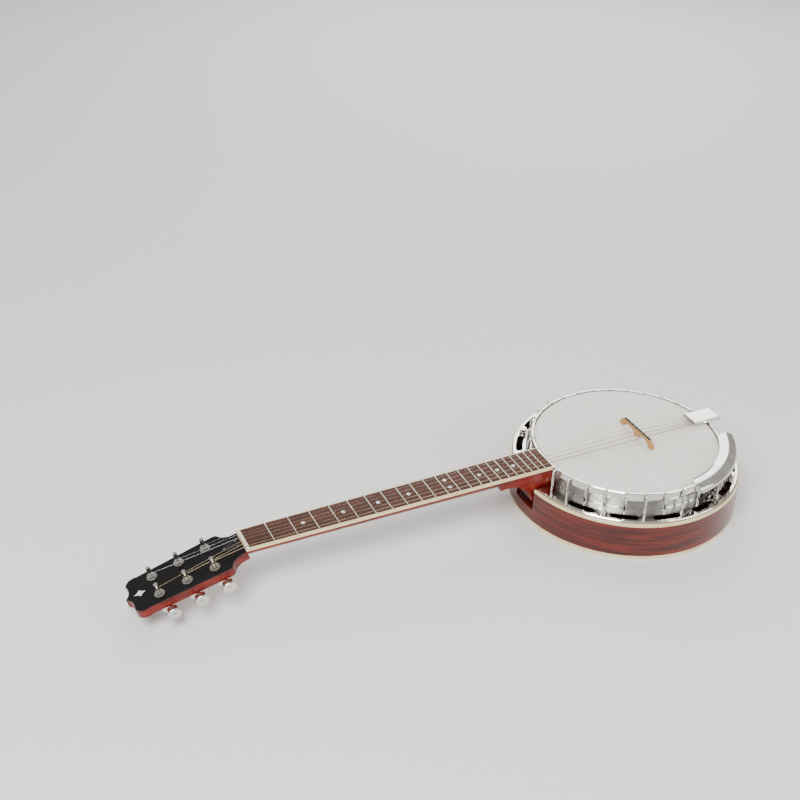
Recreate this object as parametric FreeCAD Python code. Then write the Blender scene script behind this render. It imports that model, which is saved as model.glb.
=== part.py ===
"""Six-string resonator banjo, lying on its back.

A turned aluminium rim carries a plastic head under a notched tension hoop.
Thirty hooks pull the hoop down against a one-piece flange, which bears on a
ledge of the rim.  A wooden resonator closes the back of the pot and comes off
once its four thumb screws are undone.  The neck is held by two lag bolts and
coordinator rods, and carries six sealed worm-and-gear tuners, three a side.

Millimetres.  The origin is the centre of the pot on the resonator's flat back,
+Z points out of the head, the neck runs towards -X and the bass side is -Y.
"""

import math
import os

import FreeCAD
import Part

V = FreeCAD.Vector
Z = V(0, 0, 1)
Y = V(0, 1, 0)
X = V(1, 0, 0)
TOUCH = 0.05  # gap between turned parts that only just clear each other

# Driving dimensions of the pot
head_top = 95.0
head_r = 140.0
film = 0.6
film_bend = 4.5
rim_out_r = 139.0
rim_in_r = 131.0
rim_low_r = 136.5
rim_bottom = 26.0
rim_bead = 4.0
ledge_z = 66.0
hoop_out_r = 145.0
hoop_in_r = 140.8
hoop_seat_r = 143.0
hoop_top = 94.5
hoop_bottom = 81.5
seat_top = 86.5

# Hooks and flange
hook_places = 32
hook_step = 360.0 / hook_places
hook_ring_r = 149.0
hook_r = 2.0
hook_bend = 3.0
finger_z = 92.4
finger_tip_r = 141.7
hook_foot = 46.0
nut_flats = 8.0
nut_height = 11.0
plate_bottom = 62.0
plate_top = 64.5
collar_bottom = 54.0
collar_in_r = 136.7
collar_out_r = 140.0
flange_out_r = 171.0
slot_in_r = 155.5
slot_out_r = 166.0
slot_span = 15.0
screw_ring_r = 161.0
screw_angles = (45.0, 135.0, 225.0, 315.0)

# Resonator
shell_out_r = 174.0
shell_in_r = 168.0
back_thick = 6.0
shell_top = plate_bottom - 0.3
strip_wide = 2.4
strip_tall = 5.0
heel_gap = 23.5
heel_gap_floor = 25.0

# Neck, fretboard and strings
scale_length = 628.65
bridge_x = 18.0
nut_x = bridge_x - scale_length
board_end = -145.5
board_top = 98.0
board_thick = 5.0
board_nut_w = 44.0
board_end_w = 53.0
strip = 1.5
fret_count = 22
neck_angle = 1.3
nut_thick = 5.0
nut_above = 2.0
nut_action = 1.4
dot_frets = (3, 5, 7, 9, 12, 15, 17, 19)
string_radii = (0.58, 0.46, 0.33, 0.216, 0.165, 0.127)
string_gap_nut = 7.3
string_gap_bridge = 10.4
string_gap_tail = 4.0
bridge_high = 13.5
bridge_wide = 84.0

# Headstock and tuners
peghead_angle = 15.0
peghead_thick = 14.0
cover_screws = ((-6.3, -6.4), (-6.3, 6.4), (-24.2, 0.0))
veneer = 1.5
peghead_drop = 4.6
post_first = 46.0
post_step = 39.5
post_near = 21.5
post_far = 18.5
post_r = 3.0
post_waist_r = 2.45
string_hole_z = 8.6
post_high = 18.0
worm_pitch = 1.75
gear_teeth = 14
gear_pitch_r = worm_pitch * gear_teeth / (2 * math.pi)
worm_pitch_r = 2.1
worm_gap = gear_pitch_r + worm_pitch_r
worm_z = -peghead_thick - 6.5
housing_z = -peghead_thick - 12.5

# Tailpiece and armrest
tail_front = 114.0
tail_back = 160.0
tail_half = 14.0
tail_plate_z = 96.6
cover_top = 103.0
hinge_z = 98.6
hinge_r = 1.4
tail_posts_x = 125.2
tail_post_r = 1.0
tail_bolt_x = 152.6
anchor_z = 98.9
rod_high = 71.0
rod_low = 42.0
rod_r = 3.0
bracket_thick = 3.2
shelf_z = 80.6
rod_outer_face = {rod_high: rim_out_r + bracket_thick + 2 * TOUCH, rod_low: rim_low_r + TOUCH}
rest_from = -84.0
rest_to = -22.0
rest_corner = 13.0
rest_clamps = (-2 * 3 * hook_step, -3 * hook_step)


# ---------------------------------------------------------------- helpers
def wire(points):
    """A closed wire through points; a pair (middle, end) makes an arc to end."""
    edges = []
    last = points[0]
    for item in list(points[1:]) + [points[0]]:
        if isinstance(item, tuple):
            edges.append(Part.Arc(last, item[0], item[1]).toShape())
            last = item[1]
        elif item.distanceToPoint(last) > 1e-7:
            edges.append(Part.LineSegment(last, item).toShape())
            last = item
    return Part.Wire(edges)


def turned(points, angle=360.0):
    """Revolves a closed (radius, height) outline about Z."""

    def at(p):
        return V(p[0], 0, p[1])

    outline = [tuple(at(q) for q in p) if isinstance(p[0], tuple) else at(p) for p in points]
    return Part.Face(wire(outline)).revolve(V(0, 0, 0), Z, angle)


def ring(inner, outer, low, high):
    """A plain ring about Z."""
    return turned([(inner, low), (outer, low), (outer, high), (inner, high)])


def rod(start, end, radius):
    """A round bar from one point to another."""
    way = end - start
    return Part.makeCylinder(radius, way.Length, start, way)


def block(x0, x1, y0, y1, z0, z1):
    """A box between two corners."""
    return Part.makeBox(x1 - x0, y1 - y0, z1 - z0, V(x0, y0, z0))


def hexagon(flats, height, base, way):
    """A hexagonal bar of a width across flats, standing on base along way."""
    radius = flats / math.sqrt(3)
    corners = [
        V(radius * math.cos(math.radians(60 * k)), radius * math.sin(math.radians(60 * k)), 0)
        for k in range(6)
    ]
    bar = Part.Face(Part.makePolygon(corners + corners[:1])).extrude(V(0, 0, height))
    turn = FreeCAD.Rotation(Z, way)
    bar.Placement = FreeCAD.Placement(base, turn)
    return bar


def polar(radius, angle, z=0.0):
    """The point at a radius and angle in degrees about Z."""
    return V(radius * math.cos(math.radians(angle)), radius * math.sin(math.radians(angle)), z)


def about_z(shape, angle):
    """A copy turned about Z."""
    return shape.rotated(V(0, 0, 0), Z, angle)


def to_neck(shape):
    """Tips a shape built level with the head back by the neck angle."""
    return shape.rotated(V(board_end, 0, board_top), Y, -neck_angle)


def neck_point(x, y, z):
    """A point given level with the head, tipped back by the neck angle."""
    pivot = V(board_end, 0, board_top)
    return pivot + FreeCAD.Rotation(Y, -neck_angle).multVec(V(x, y, z) - pivot)


def peghead_base():
    """Where the peghead's own frame starts, before the neck is tipped."""
    return V(nut_x - nut_thick, 0, board_top - peghead_drop)


def tip_peghead(shape):
    """Tips a shape of the peghead's frame, whose face is z = 0, behind a level neck."""
    return shape.rotated(V(0, 0, 0), Y, -peghead_angle).translated(peghead_base())


def to_peghead(shape):
    """Carries a shape from the peghead's frame to its place."""
    return to_neck(tip_peghead(shape))


def peghead_point(x, y, z):
    """The place of a point of the peghead's frame."""
    p = peghead_base() + FreeCAD.Rotation(Y, -peghead_angle).multVec(V(x, y, z))
    return neck_point(p.x, p.y, p.z)


def peghead_way(direction):
    """The direction in place of a direction of the peghead's frame."""
    return FreeCAD.Rotation(Y, -peghead_angle - neck_angle).multVec(direction)


def hook_angles():
    """Every hook place but the neck's and the tailpiece's."""
    half = hook_places // 2
    return [k * hook_step for k in range(-half + 1, half) if k != 0]


# ---------------------------------------------------------------- pot
def make_rim():
    """Cast and turned rim: outer ledge for the flange, bead under the head."""
    top = head_top - film
    bead = rim_out_r - rim_bead
    slope = rim_bead * math.sin(math.radians(45))
    body = turned(
        [
            (rim_in_r, rim_bottom),
            (rim_low_r, rim_bottom),
            (rim_low_r, ledge_z),
            (rim_out_r, ledge_z),
            (rim_out_r, top - rim_bead),
            ((bead + slope, top - rim_bead + slope), (bead, top)),
            (bead - 2.0, top),
            ((rim_in_r + 0.6, top - 0.6), (rim_in_r, top - 2.0)),
        ]
    )
    cuts = []
    for z in (rod_high, rod_low):
        cuts.append(rod(V(-rim_out_r - 5, 0, z), V(-rim_in_r + 5, 0, z), rod_r + 0.2))
        cuts.append(rod(V(rim_in_r - 5, 0, z), V(rim_out_r + 5, 0, z), rod_r + 0.2))
    return body.cut(cuts)


def make_head():
    """Plastic head: a flat playing face bent over into a collar."""
    low = hoop_bottom + 0.8
    mid = film_bend * math.sin(math.radians(45))
    bend_r = head_r - film_bend
    bend_z = head_top - film_bend
    inner = (film_bend - film) * math.sin(math.radians(45))
    return turned(
        [
            (0, head_top - film),
            (bend_r, head_top - film),
            ((bend_r + inner, bend_z + inner), (head_r - film, bend_z)),
            (head_r - film, low),
            (head_r, low),
            (head_r, bend_z),
            ((bend_r + mid, bend_z + mid), (bend_r, head_top)),
            (0, head_top),
        ]
    )


def make_crown_hoop():
    """Metal flesh hoop at the foot of the head's collar."""
    return ring(head_r + TOUCH, hoop_seat_r - 0.1, hoop_bottom + 0.8, seat_top - TOUCH)


def make_tension_hoop():
    """Notched hoop with an inner seat that presses on the crown hoop."""
    edge = 0.8
    hoop = turned(
        [
            (hoop_seat_r, hoop_bottom),
            (hoop_out_r, hoop_bottom),
            (hoop_out_r, hoop_top - edge),
            (hoop_out_r - edge, hoop_top),
            (hoop_in_r + edge, hoop_top),
            (hoop_in_r, hoop_top - edge),
            (hoop_in_r, seat_top),
            (hoop_seat_r, seat_top),
        ]
    )
    floor = finger_z - hook_r - 0.1
    notch = block(hoop_in_r - 1, hoop_out_r + 1, -hook_r - 0.2, hook_r + 0.2, floor, hoop_top + 1)
    return hoop.cut([about_z(notch, a) for a in hook_angles()])


def make_hook(angle):
    """Round tension hook: shank, quarter bend and a finger lying in its notch."""
    bend_start = finger_z - hook_bend
    finger_start = hook_ring_r - hook_bend
    shank = rod(V(hook_ring_r, 0, hook_foot), V(hook_ring_r, 0, bend_start), hook_r)
    bend = Part.Face(Part.Wire(Part.makeCircle(hook_r, V(hook_ring_r, 0, bend_start), Z)))
    bend = bend.revolve(V(finger_start, 0, bend_start), -Y, 90)
    finger = rod(V(finger_start, 0, finger_z), V(finger_tip_r, 0, finger_z), hook_r)
    return about_z(shank.fuse([bend, finger]).removeSplitter(), angle)


def make_hooks():
    return Part.makeCompound([make_hook(a) for a in hook_angles()])


def make_hook_nuts():
    """Long hexagonal nuts that draw the hooks down under the flange."""
    nut = hexagon(nut_flats, nut_height, V(hook_ring_r, 0, plate_bottom - TOUCH - nut_height), Z)
    bore = rod(V(hook_ring_r, 0, 40), V(hook_ring_r, 0, 70), hook_r + TOUCH)
    nut = nut.cut(bore)
    return Part.makeCompound([about_z(nut, a) for a in hook_angles()])


def arc_slot(inner, outer, span, low, high):
    """A slot along a circle, round at both ends and centred on angle zero."""
    mid_r = (inner + outer) / 2
    half_w = (outer - inner) / 2
    body = turned([(inner, low), (outer, low), (outer, high), (inner, high)], span)
    body = about_z(body, -span / 2)
    ends = [rod(polar(mid_r, a, low), polar(mid_r, a, high), half_w) for a in (-span / 2, span / 2)]
    return body.fuse(ends)


def make_flange():
    """One-piece flange: collar under the ledge, plate with sound openings."""
    edge = 1.2
    body = turned(
        [
            (collar_in_r, collar_bottom),
            (collar_out_r, collar_bottom),
            (collar_out_r, plate_bottom),
            (flange_out_r, plate_bottom),
            (flange_out_r, plate_top - edge),
            (flange_out_r - edge, plate_top),
            (collar_out_r, plate_top),
            (collar_out_r, ledge_z - TOUCH),
            (collar_in_r, ledge_z - TOUCH),
        ]
    )
    low, high = plate_bottom - 1, plate_top + 1
    cuts = [rod(polar(hook_ring_r, a, low), polar(hook_ring_r, a, high), hook_r + 0.3) for a in hook_angles()]
    cuts += [rod(polar(screw_ring_r, a, low), polar(screw_ring_r, a, high), 2.4) for a in screw_angles]
    slot = arc_slot(slot_in_r, slot_out_r, slot_span - 4, low, high)
    for k in range(hook_places // 2):
        angle = (2 * k + 1) * hook_step
        if abs(angle - 180) > 2 * hook_step:
            cuts.append(about_z(slot, angle))
    heel = board_end_w / 2 + 0.6
    heel_slot = block(-flange_out_r - 2, 0, -heel, heel, low, high)
    cuts.append(heel_slot.cut(Part.makeCylinder(collar_out_r, 200)))
    return body.cut(cuts)


# ---------------------------------------------------------------- resonator
def heel_cut():
    """The gap in the resonator's wall that the neck's heel stands in."""
    return block(-shell_out_r - 5, -shell_in_r + 12, -heel_gap, heel_gap, heel_gap_floor, plate_bottom + 5)


def make_resonator_side():
    """Bent plywood wall, rebated for the top binding."""
    inner = shell_out_r - strip_wide
    wall = turned(
        [
            (shell_in_r, back_thick),
            (shell_out_r, back_thick),
            (shell_out_r, plate_bottom - strip_tall),
            (inner, plate_bottom - strip_tall),
            (inner, shell_top),
            (shell_in_r, shell_top),
        ]
    )
    holes = [about_z(hole, a) for a in screw_angles for hole in lug_holes(shell_out_r - 2)]
    return wall.cut([heel_cut()] + holes)


def make_resonator_back():
    """Flat back that the banjo lies on."""
    return ring(0.0, shell_out_r - strip_wide, 0.0, back_thick)


def make_resonator_binding():
    """Cream strips round the wall's top edge and round the back."""
    inner = shell_out_r - strip_wide
    edge = 1.0
    top_z = shell_top
    upper = turned(
        [
            (inner, plate_bottom - strip_tall),
            (shell_out_r, plate_bottom - strip_tall),
            (shell_out_r, top_z - edge),
            (shell_out_r - edge, top_z),
            (inner, top_z),
        ]
    ).cut(heel_cut())
    lower = turned(
        [
            (inner, 0),
            (shell_out_r - edge, 0),
            (shell_out_r, edge),
            (shell_out_r, back_thick),
            (inner, back_thick),
        ]
    )
    return Part.makeCompound([upper, lower])


def lug_holes(reach):
    """The two pilot holes behind a lug, out to a radius."""
    return [rod(V(150, y, 48), V(reach, y, 48), 1.25) for y in (-5, 5)]


def make_resonator_lugs():
    """Threaded blocks screwed inside the wall, one under each thumb screw."""
    lug = block(screw_ring_r - 5, shell_in_r + 2, -8, 8, 44, 60)
    lug = lug.common(Part.makeCylinder(shell_in_r - TOUCH, 100))
    lug = lug.cut([rod(V(screw_ring_r, 0, 40), V(screw_ring_r, 0, 70), 2.02)] + lug_holes(180))
    return Part.makeCompound([about_z(lug, a) for a in screw_angles])


def make_lug_screws():
    """Small round-head screws that hold the lugs to the wall."""
    screws = []
    for angle in screw_angles:
        for y in (-5, 5):
            head = rod(V(screw_ring_r - 6.2, y, 48), V(screw_ring_r - 5, y, 48), 2.4)
            shank = rod(V(screw_ring_r - 5.1, y, 48), V(shell_out_r - 2.2, y, 48), 1.2)
            screws.append(about_z(head.fuse(shank), angle))
    return Part.makeCompound(screws)


def make_thumb_screw(angle):
    """Knurled thumb screw that holds the resonator to the flange."""
    centre = polar(screw_ring_r, angle)
    under = plate_top + 0.1
    shank = rod(centre + V(0, 0, 46), centre + V(0, 0, under + 1), 1.95)
    washer = rod(centre + V(0, 0, under), centre + V(0, 0, under + 1.2), 5.4)
    neck = rod(centre + V(0, 0, under + 1.1), centre + V(0, 0, under + 2.6), 3.4)
    head = rod(centre + V(0, 0, under + 2.5), centre + V(0, 0, under + 8.0), 5.6)
    teeth = 18
    grooves = []
    for k in range(teeth):
        place = centre + polar(5.9, 360.0 * k / teeth)
        grooves.append(rod(place + V(0, 0, under + 2), place + V(0, 0, under + 9), 0.55))
    head = head.cut(grooves)
    return shank.fuse([washer, neck, head])


# ---------------------------------------------------------------- rods
def make_coordinator_rods():
    """Two rods across the pot that set the neck and stiffen the rim."""
    ends = rod_outer_face.items()
    return Part.makeCompound([rod(V(-112, 0, z), V(face + 6.5, 0, z), rod_r) for z, face in ends])


def make_lag_bolts():
    """Bolts from the heel through the rim, one for each rod."""
    return Part.makeCompound([rod(V(-168, 0, z), V(-113, 0, z), rod_r) for z in (rod_high, rod_low)])


def bored(shape, z):
    """Cuts the rod's clearance hole along X."""
    return shape.cut(rod(V(-200, 0, z), V(200, 0, z), rod_r + TOUCH))


def make_rod_nuts():
    """Couplings, clamping nuts inside the rim and end nuts outside it."""
    parts = []
    for z, face in rod_outer_face.items():
        for start, length, flats in ((-124.5, 22, 10), (-129.9, 5, 10), (124.9, 5, 10), (face + 1.0, 5, 8)):
            parts.append(bored(hexagon(flats, length, V(start, 0, z), X), z))
    return Part.makeCompound(parts)


def make_rod_washers():
    """Washers under the nuts; those inside the rim are trimmed to its curve."""
    inside = Part.makeCylinder(rim_in_r - TOUCH, 100)
    parts = []
    for z, face in rod_outer_face.items():
        for start in (-130.9, 129.95):
            parts.append(bored(rod(V(start, 0, z), V(start + 0.9, 0, z), 7.0), z).common(inside))
        parts.append(bored(rod(V(face, 0, z), V(face + 0.9, 0, z), 5.2), z))
    return Part.makeCompound(parts)


# ---------------------------------------------------------------- tailpiece
def make_tail_bracket():
    """Angle bracket on the upper rod's end that the tailpiece hangs from."""
    start = rim_out_r + TOUCH
    plate = block(start, start + bracket_thick, -8, 8, ledge_z + 0.4, shelf_z)
    plate = plate.cut(Part.makeCylinder(start, 100))
    shelf = block(start + 1.0, tail_bolt_x + 5, -8, 8, shelf_z - 2.5, shelf_z)
    bracket = plate.fuse(shelf).removeSplitter()
    bracket = bracket.cut(rod(V(130, 0, rod_high), V(160, 0, rod_high), rod_r + TOUCH))
    return bracket.cut(rod(V(tail_bolt_x, 0, 60), V(tail_bolt_x, 0, 90), 2.1))


def make_tail_bolt():
    """Hanger bolt from the tailpiece down through the bracket's shelf, and its nut."""
    top = tail_plate_z + 1.5 + TOUCH
    bolt = rod(V(tail_bolt_x, 0, 72.5), V(tail_bolt_x, 0, top), 2.0)
    head = rod(V(tail_bolt_x, 0, top), V(tail_bolt_x, 0, top + 1.8), 3.4)
    slot = block(tail_bolt_x - 4, tail_bolt_x + 4, -0.5, 0.5, top + 0.9, top + 3)
    nut = hexagon(6, 3.2, V(tail_bolt_x, 0, shelf_z - 2.5 - TOUCH - 3.2), Z)
    nut = nut.cut(rod(V(tail_bolt_x, 0, 50), V(tail_bolt_x, 0, 90), 2.0 + TOUCH))
    return Part.makeCompound([bolt.fuse(head).cut(slot), nut])


def make_tail_frame():
    """Bent plate with six string posts and the hinge's knuckle at the back."""
    low = tail_plate_z
    plate = block(tail_front + 3, tail_back - 1.6, -tail_half + 1.6, tail_half - 1.6, low, low + 1.5)
    half = tail_half - 1.6
    knuckle = rod(V(tail_back, -half, hinge_z), V(tail_back, half, hinge_z), hinge_r + 1.0)
    lip = block(tail_back - 2.4, tail_back + 0.4, -tail_half + 1.6, tail_half - 1.6, low, hinge_z)
    posts = []
    for k in range(6):
        y = string_y(k, string_gap_tail)
        posts.append(rod(V(tail_posts_x, y, low + 1), V(tail_posts_x, y, low + 3.2), tail_post_r))
    frame = plate.fuse([knuckle, lip] + posts).removeSplitter()
    pin = rod(V(tail_back, -30, hinge_z), V(tail_back, 30, hinge_z), hinge_r + 0.05)
    return frame.cut([pin, rod(V(tail_bolt_x, 0, 90), V(tail_bolt_x, 0, 98.5), 2.1)])


def make_tail_pin():
    return rod(V(tail_back, -tail_half - 0.4, hinge_z), V(tail_back, tail_half + 0.4, hinge_z), hinge_r)


def make_tail_cover():
    """Hinged lid: a plate with turned-down sides that hook over the pin."""
    wall = 1.2
    outer = block(tail_front, tail_back + 1.0, -tail_half, tail_half, tail_plate_z + 0.6, cover_top)
    tops = [e for e in outer.Edges if min(v.Z for v in e.Vertexes) > cover_top - 0.01]
    outer = outer.makeFillet(1.1, tops)
    inner = block(tail_front - 2, tail_back + 5, -tail_half + wall, tail_half - wall, 90, cover_top - wall)
    lid = outer.cut(inner)
    hinge = rod(V(tail_back, -tail_half, hinge_z), V(tail_back, tail_half, hinge_z), 2.6)
    hinge = hinge.cut(block(140, 170, -tail_half + wall, tail_half - wall, 80, 110))
    lid = lid.cut(block(tail_back, tail_back + 10, -20, 20, 90, cover_top - 0.8 - 2.0)).fuse(hinge)
    hole = rod(V(tail_back, -30, hinge_z), V(tail_back, 30, hinge_z), hinge_r + 0.06)
    return lid.removeSplitter().cut(hole)


# ---------------------------------------------------------------- armrest
def rest_section(offset):
    """The armrest's crowned section: inner edge, crown and rolled outer edge."""
    inner = (137.0, 100.6 + offset)
    crown = (149.5, 103.6 + offset)
    shoulder = (159.0, 101.4 + offset)
    bend = (162.4 + offset * 0.75, 98.9 + offset * 0.6)
    foot = (163.4 + offset, 94.6)
    return inner, crown, shoulder, bend, foot


def make_armrest():
    """Pressed plate that keeps the forearm off the head, rounded at its ends."""
    low = rest_section(0.0)
    high = rest_section(1.4)
    span = rest_to - rest_from
    plate = turned(
        [low[0], (low[1], low[2]), (low[3], low[4]), high[4], (high[3], high[2]), (high[1], high[0])],
        span,
    )
    plate = about_z(plate, rest_from)
    r_mid = low[0][0] + rest_corner
    for angle, turn in ((rest_from, 1), (rest_to, -1)):
        reach = math.degrees(rest_corner / r_mid) * turn
        centre = polar(r_mid, angle + reach)
        wedge = turned([(130, 90), (r_mid, 90), (r_mid, 110), (130, 110)], abs(reach))
        wedge = about_z(wedge, min(angle, angle + reach))
        wedge = wedge.cut(rod(centre + V(0, 0, 80), centre + V(0, 0, 120), rest_corner))
        plate = plate.cut(wedge)
    return plate


def make_armrest_brackets():
    """Straps from the plate down to clamps that grip a hook, front and back."""
    inner, crown, shoulder = rest_section(-TOUCH)[:3]
    above = turned([inner, (crown, shoulder), (170, shoulder[1]), (170, 120), (inner[0], 120)])
    parts = []
    for angle in rest_clamps:
        strap = block(152.6, 154.4, -6.5, 6.5, 69, 110).cut(above)
        outer = block(151.3, 152.7, -8.5, 8.5, 69, 79)
        inner = block(145.3, 146.7, -8.5, 8.5, 69, 79)
        holes = [rod(V(140, y, 74), V(160, y, 74), 1.3) for y in (-5.6, 5.6)]
        parts.append(about_z(strap.fuse(outer).cut(holes), angle))
        parts.append(about_z(inner.cut(holes), angle))
    return Part.makeCompound(parts)


def make_armrest_screws():
    """Two clamp screws a bracket, one each side of the hook."""
    parts = []
    for angle in rest_clamps:
        for y in (-5.6, 5.6):
            shank = rod(V(144.9, y, 74), V(154.5, y, 74), 1.25)
            head = rod(V(154.45, y, 74), V(156.2, y, 74), 2.3)
            parts.append(about_z(shank.fuse(head), angle))
    return Part.makeCompound(parts)


# ---------------------------------------------------------------- bridge
def string_y(k, gap):
    """Side position of string k, from the bass string 0 to the treble string 5."""
    return (k - 2.5) * gap


def bridge_wedge(wide, low, narrow):
    """A long wedge up to the bridge's full height, given its two half widths."""
    high = bridge_high
    corners = [V(-wide, -60, low), V(wide, -60, low), V(narrow, -60, high), V(-narrow, -60, high)]
    return Part.Face(wire(corners)).extrude(V(0, 120, 0))


def make_bridge():
    """Maple bridge: three feet, two arches, tapering towards the top."""
    half = bridge_wide / 2
    foot = 9.0
    top = bridge_high - 2.0
    arch = 7.6
    gap = half - 1.5 * foot
    outline = [V(0, -half, 0), V(0, -half + foot, 0)]
    outline.append((V(0, -half + foot + gap / 2, arch), V(0, -half + foot + gap, 0)))
    outline.append(V(0, foot / 2, 0))
    outline.append((V(0, foot / 2 + gap / 2, arch), V(0, half - foot, 0)))
    outline += [V(0, half, 0), V(0, half, 3.0), V(0, half - 9.0, top)]
    outline += [V(0, -half + 9.0, top), V(0, -half, 3.0)]
    body = Part.Face(wire(outline)).extrude(V(8, 0, 0)).translated(V(-4, 0, 0))
    body = body.common(bridge_wedge(3.6, 0.0, 1.4))
    return body.translated(V(bridge_x, 0, head_top + TOUCH))


def make_bridge_cap():
    """Ebony strip that the strings rest on."""
    half = bridge_wide / 2 - 9.0
    low, high = bridge_high - 2.0, bridge_high
    wide = 3.6 - 2.2 * low / bridge_high
    cap = block(-wide, wide, -half, half, low, high).common(bridge_wedge(wide, low, 0.9))
    return cap.translated(V(bridge_x, 0, head_top + TOUCH))


# ---------------------------------------------------------------- neck
def board_width(x):
    """The fretboard's width at x."""
    return board_nut_w + (board_end_w - board_nut_w) * (x - nut_x) / (board_end - nut_x)


def board_outline(inset, x0, x1, z0, z1):
    """A tapered slab under the strings, inset from the board's edges."""
    a, b = board_width(x0) / 2 - inset, board_width(x1) / 2 - inset
    face = Part.Face(wire([V(x0, -a, z0), V(x1, -b, z0), V(x1, b, z0), V(x0, a, z0)]))
    return face.extrude(V(0, 0, z1 - z0))


def fret_x(n):
    """The place of fret n; fret 0 is the nut's front face."""
    return nut_x + scale_length * (1 - 2 ** (-n / 12.0))


def make_fretboard():
    """Rosewood board with pockets for the dots."""
    board = board_outline(strip, nut_x, board_end, board_top - board_thick, board_top)
    board = board.cut([rod(p + V(0, 0, -1.2), p + V(0, 0, 2), 3.0) for p in dot_places()])
    slots = [fret_slot(n) for n in range(1, fret_count + 1)]
    return to_neck(board.cut(slots))


def make_board_binding():
    """Cream strips along the board's two edges."""
    low = board_top - board_thick
    outer = board_outline(0.0, nut_x, board_end, low, board_top)
    inner = board_outline(strip, nut_x - 5, board_end + 5, low - 1, board_top + 1)
    return to_neck(outer.cut(inner))


def dot_places():
    """Centres of the position dots on the board's face."""
    places = []
    for n in dot_frets:
        x = (fret_x(n) + fret_x(n - 1)) / 2
        for y in ((-9.0, 9.0) if n == 12 else (0.0,)):
            places.append(V(x, y, board_top))
    return places


def make_dots():
    return to_neck(Part.makeCompound([rod(p + V(0, 0, -1.2), p, 3.0 - 0.02) for p in dot_places()]))


def fret_slot(n):
    """The saw cut that a fret's tang is pressed into."""
    x = fret_x(n)
    half = board_width(x) / 2 - strip
    return block(x - 0.3, x + 0.3, -half - 1, half + 1, board_top - 2.0, board_top + 1)


def make_frets():
    """Nickel frets: round crown over a thin tang."""
    frets = []
    for n in range(1, fret_count + 1):
        x = fret_x(n)
        half = board_width(x) / 2
        z = board_top + TOUCH
        crown = wire([V(x - 1.1, -half + 0.4, z), (V(x, -half + 0.4, z + 1.0), V(x + 1.1, -half + 0.4, z))])
        crown = Part.Face(crown).extrude(V(0, 2 * half - 0.8, 0))
        tang = block(x - 0.27, x + 0.27, -half + strip + 0.1, half - strip - 0.1, board_top - 1.9, z + 0.1)
        frets.append(crown.fuse(tang))
    return to_neck(Part.makeCompound(frets))


def shaft_section(x, depth):
    """Rounded neck section under the board at x."""
    half = board_width(x) / 2
    z = board_top - board_thick
    side = 3.0
    return wire(
        [
            V(x, -half, z),
            V(x, half, z),
            V(x, half, z - side),
            (V(x, 0, z - depth), V(x, -half, z - side)),
        ]
    )


def make_shaft():
    """The neck's grip, lofted from behind the peghead's root to the pot."""
    places = ((nut_x - nut_thick - 24, 14.6), (nut_x + 150, 16.0), (board_end - 60, 18.5))
    shaft = Part.makeLoft([shaft_section(x, d) for x, d in places], True, True)
    end = Part.Face(shaft_section(board_end - 60, 18.5))
    far = Part.Face(shaft_section(board_end, 19.0))
    tail = Part.makeLoft([end.OuterWire, far.OuterWire], True, True)
    over = block(-80, 0, -60, 60, -veneer, 60)
    return shaft.fuse(tail).cut(tip_peghead(over))


def make_heel():
    """Heel: a side profile swept down to the cap, narrowing as it drops."""
    top = board_top - board_thick
    under = top - 15.0
    foot = 31.0
    side = Part.Face(
        wire(
            [
                V(board_end - 85, 0, top - 1),
                V(board_end - 85, 0, under),
                (V(board_end - 46, 0, under - 9.0), V(board_end - 28, 0, foot + 14)),
                (V(board_end - 25.5, 0, foot + 4), V(board_end - 22, 0, foot)),
                V(-120, 0, foot),
                V(-120, 0, top - 1),
            ]
        )
    )
    side = side.extrude(V(0, 80, 0)).translated(V(0, -40, 0))
    wide, narrow = board_end_w / 2, 17.0
    section = Part.Face(
        wire(
            [
                V(0, -wide + 1.0, top),
                V(0, -wide + 1.6, top - 14),
                (V(0, -narrow - 3.5, 52), V(0, -narrow, foot - 1)),
                V(0, narrow, foot - 1),
                (V(0, narrow + 3.5, 52), V(0, wide - 1.6, top - 14)),
                V(0, wide - 1.0, top),
            ]
        )
    )
    section = section.extrude(V(200, 0, 0)).translated(V(-300, 0, 0))
    return side.common(section)


def peghead_outline(inset=0.0):
    """Peghead seen from its face: flared shoulders, gentle taper, waved crest."""
    root = board_nut_w / 2 - inset
    wide = 37.0 - inset
    tip = 32.5 - inset
    length = 168.0 - inset
    near = [
        V(1.0, -root, 0),
        V(-6, -root, 0),
        (V(-17, -root - 3.4, 0), V(-25, -wide + 2.0, 0)),
        (V(-29, -wide + 0.3, 0), V(-34, -wide, 0)),
        V(-length + 24, -tip, 0),
        (V(-length + 12, -tip + 1.0, 0), V(-length + 6, -tip + 9, 0)),
        (V(-length + 7.5, -tip + 19, 0), V(-length, 0, 0)),
    ]
    far = [
        (V(-length + 7.5, tip - 19, 0), V(-length + 6, tip - 9, 0)),
        (V(-length + 12, tip - 1.0, 0), V(-length + 24, tip, 0)),
        V(-34, wide, 0),
        (V(-29, wide - 0.3, 0), V(-25, wide - 2.0, 0)),
        (V(-17, root + 3.4, 0), V(-6, root, 0)),
        V(1.0, root, 0),
    ]
    return wire(near + far)


def post_places():
    """(x, y, side) of each tuner: three along the bass edge, then three treble."""
    places = []
    for side in (-1, 1):
        for k in range(3):
            y = post_near + (post_far - post_near) * k / 2
            places.append((-post_first - k * post_step, side * y, side))
    return places


def rod_pocket():
    """Opening in the peghead for the truss rod's nut."""
    return block(-20, 3, -4.2, 4.2, -9, 5)


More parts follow.
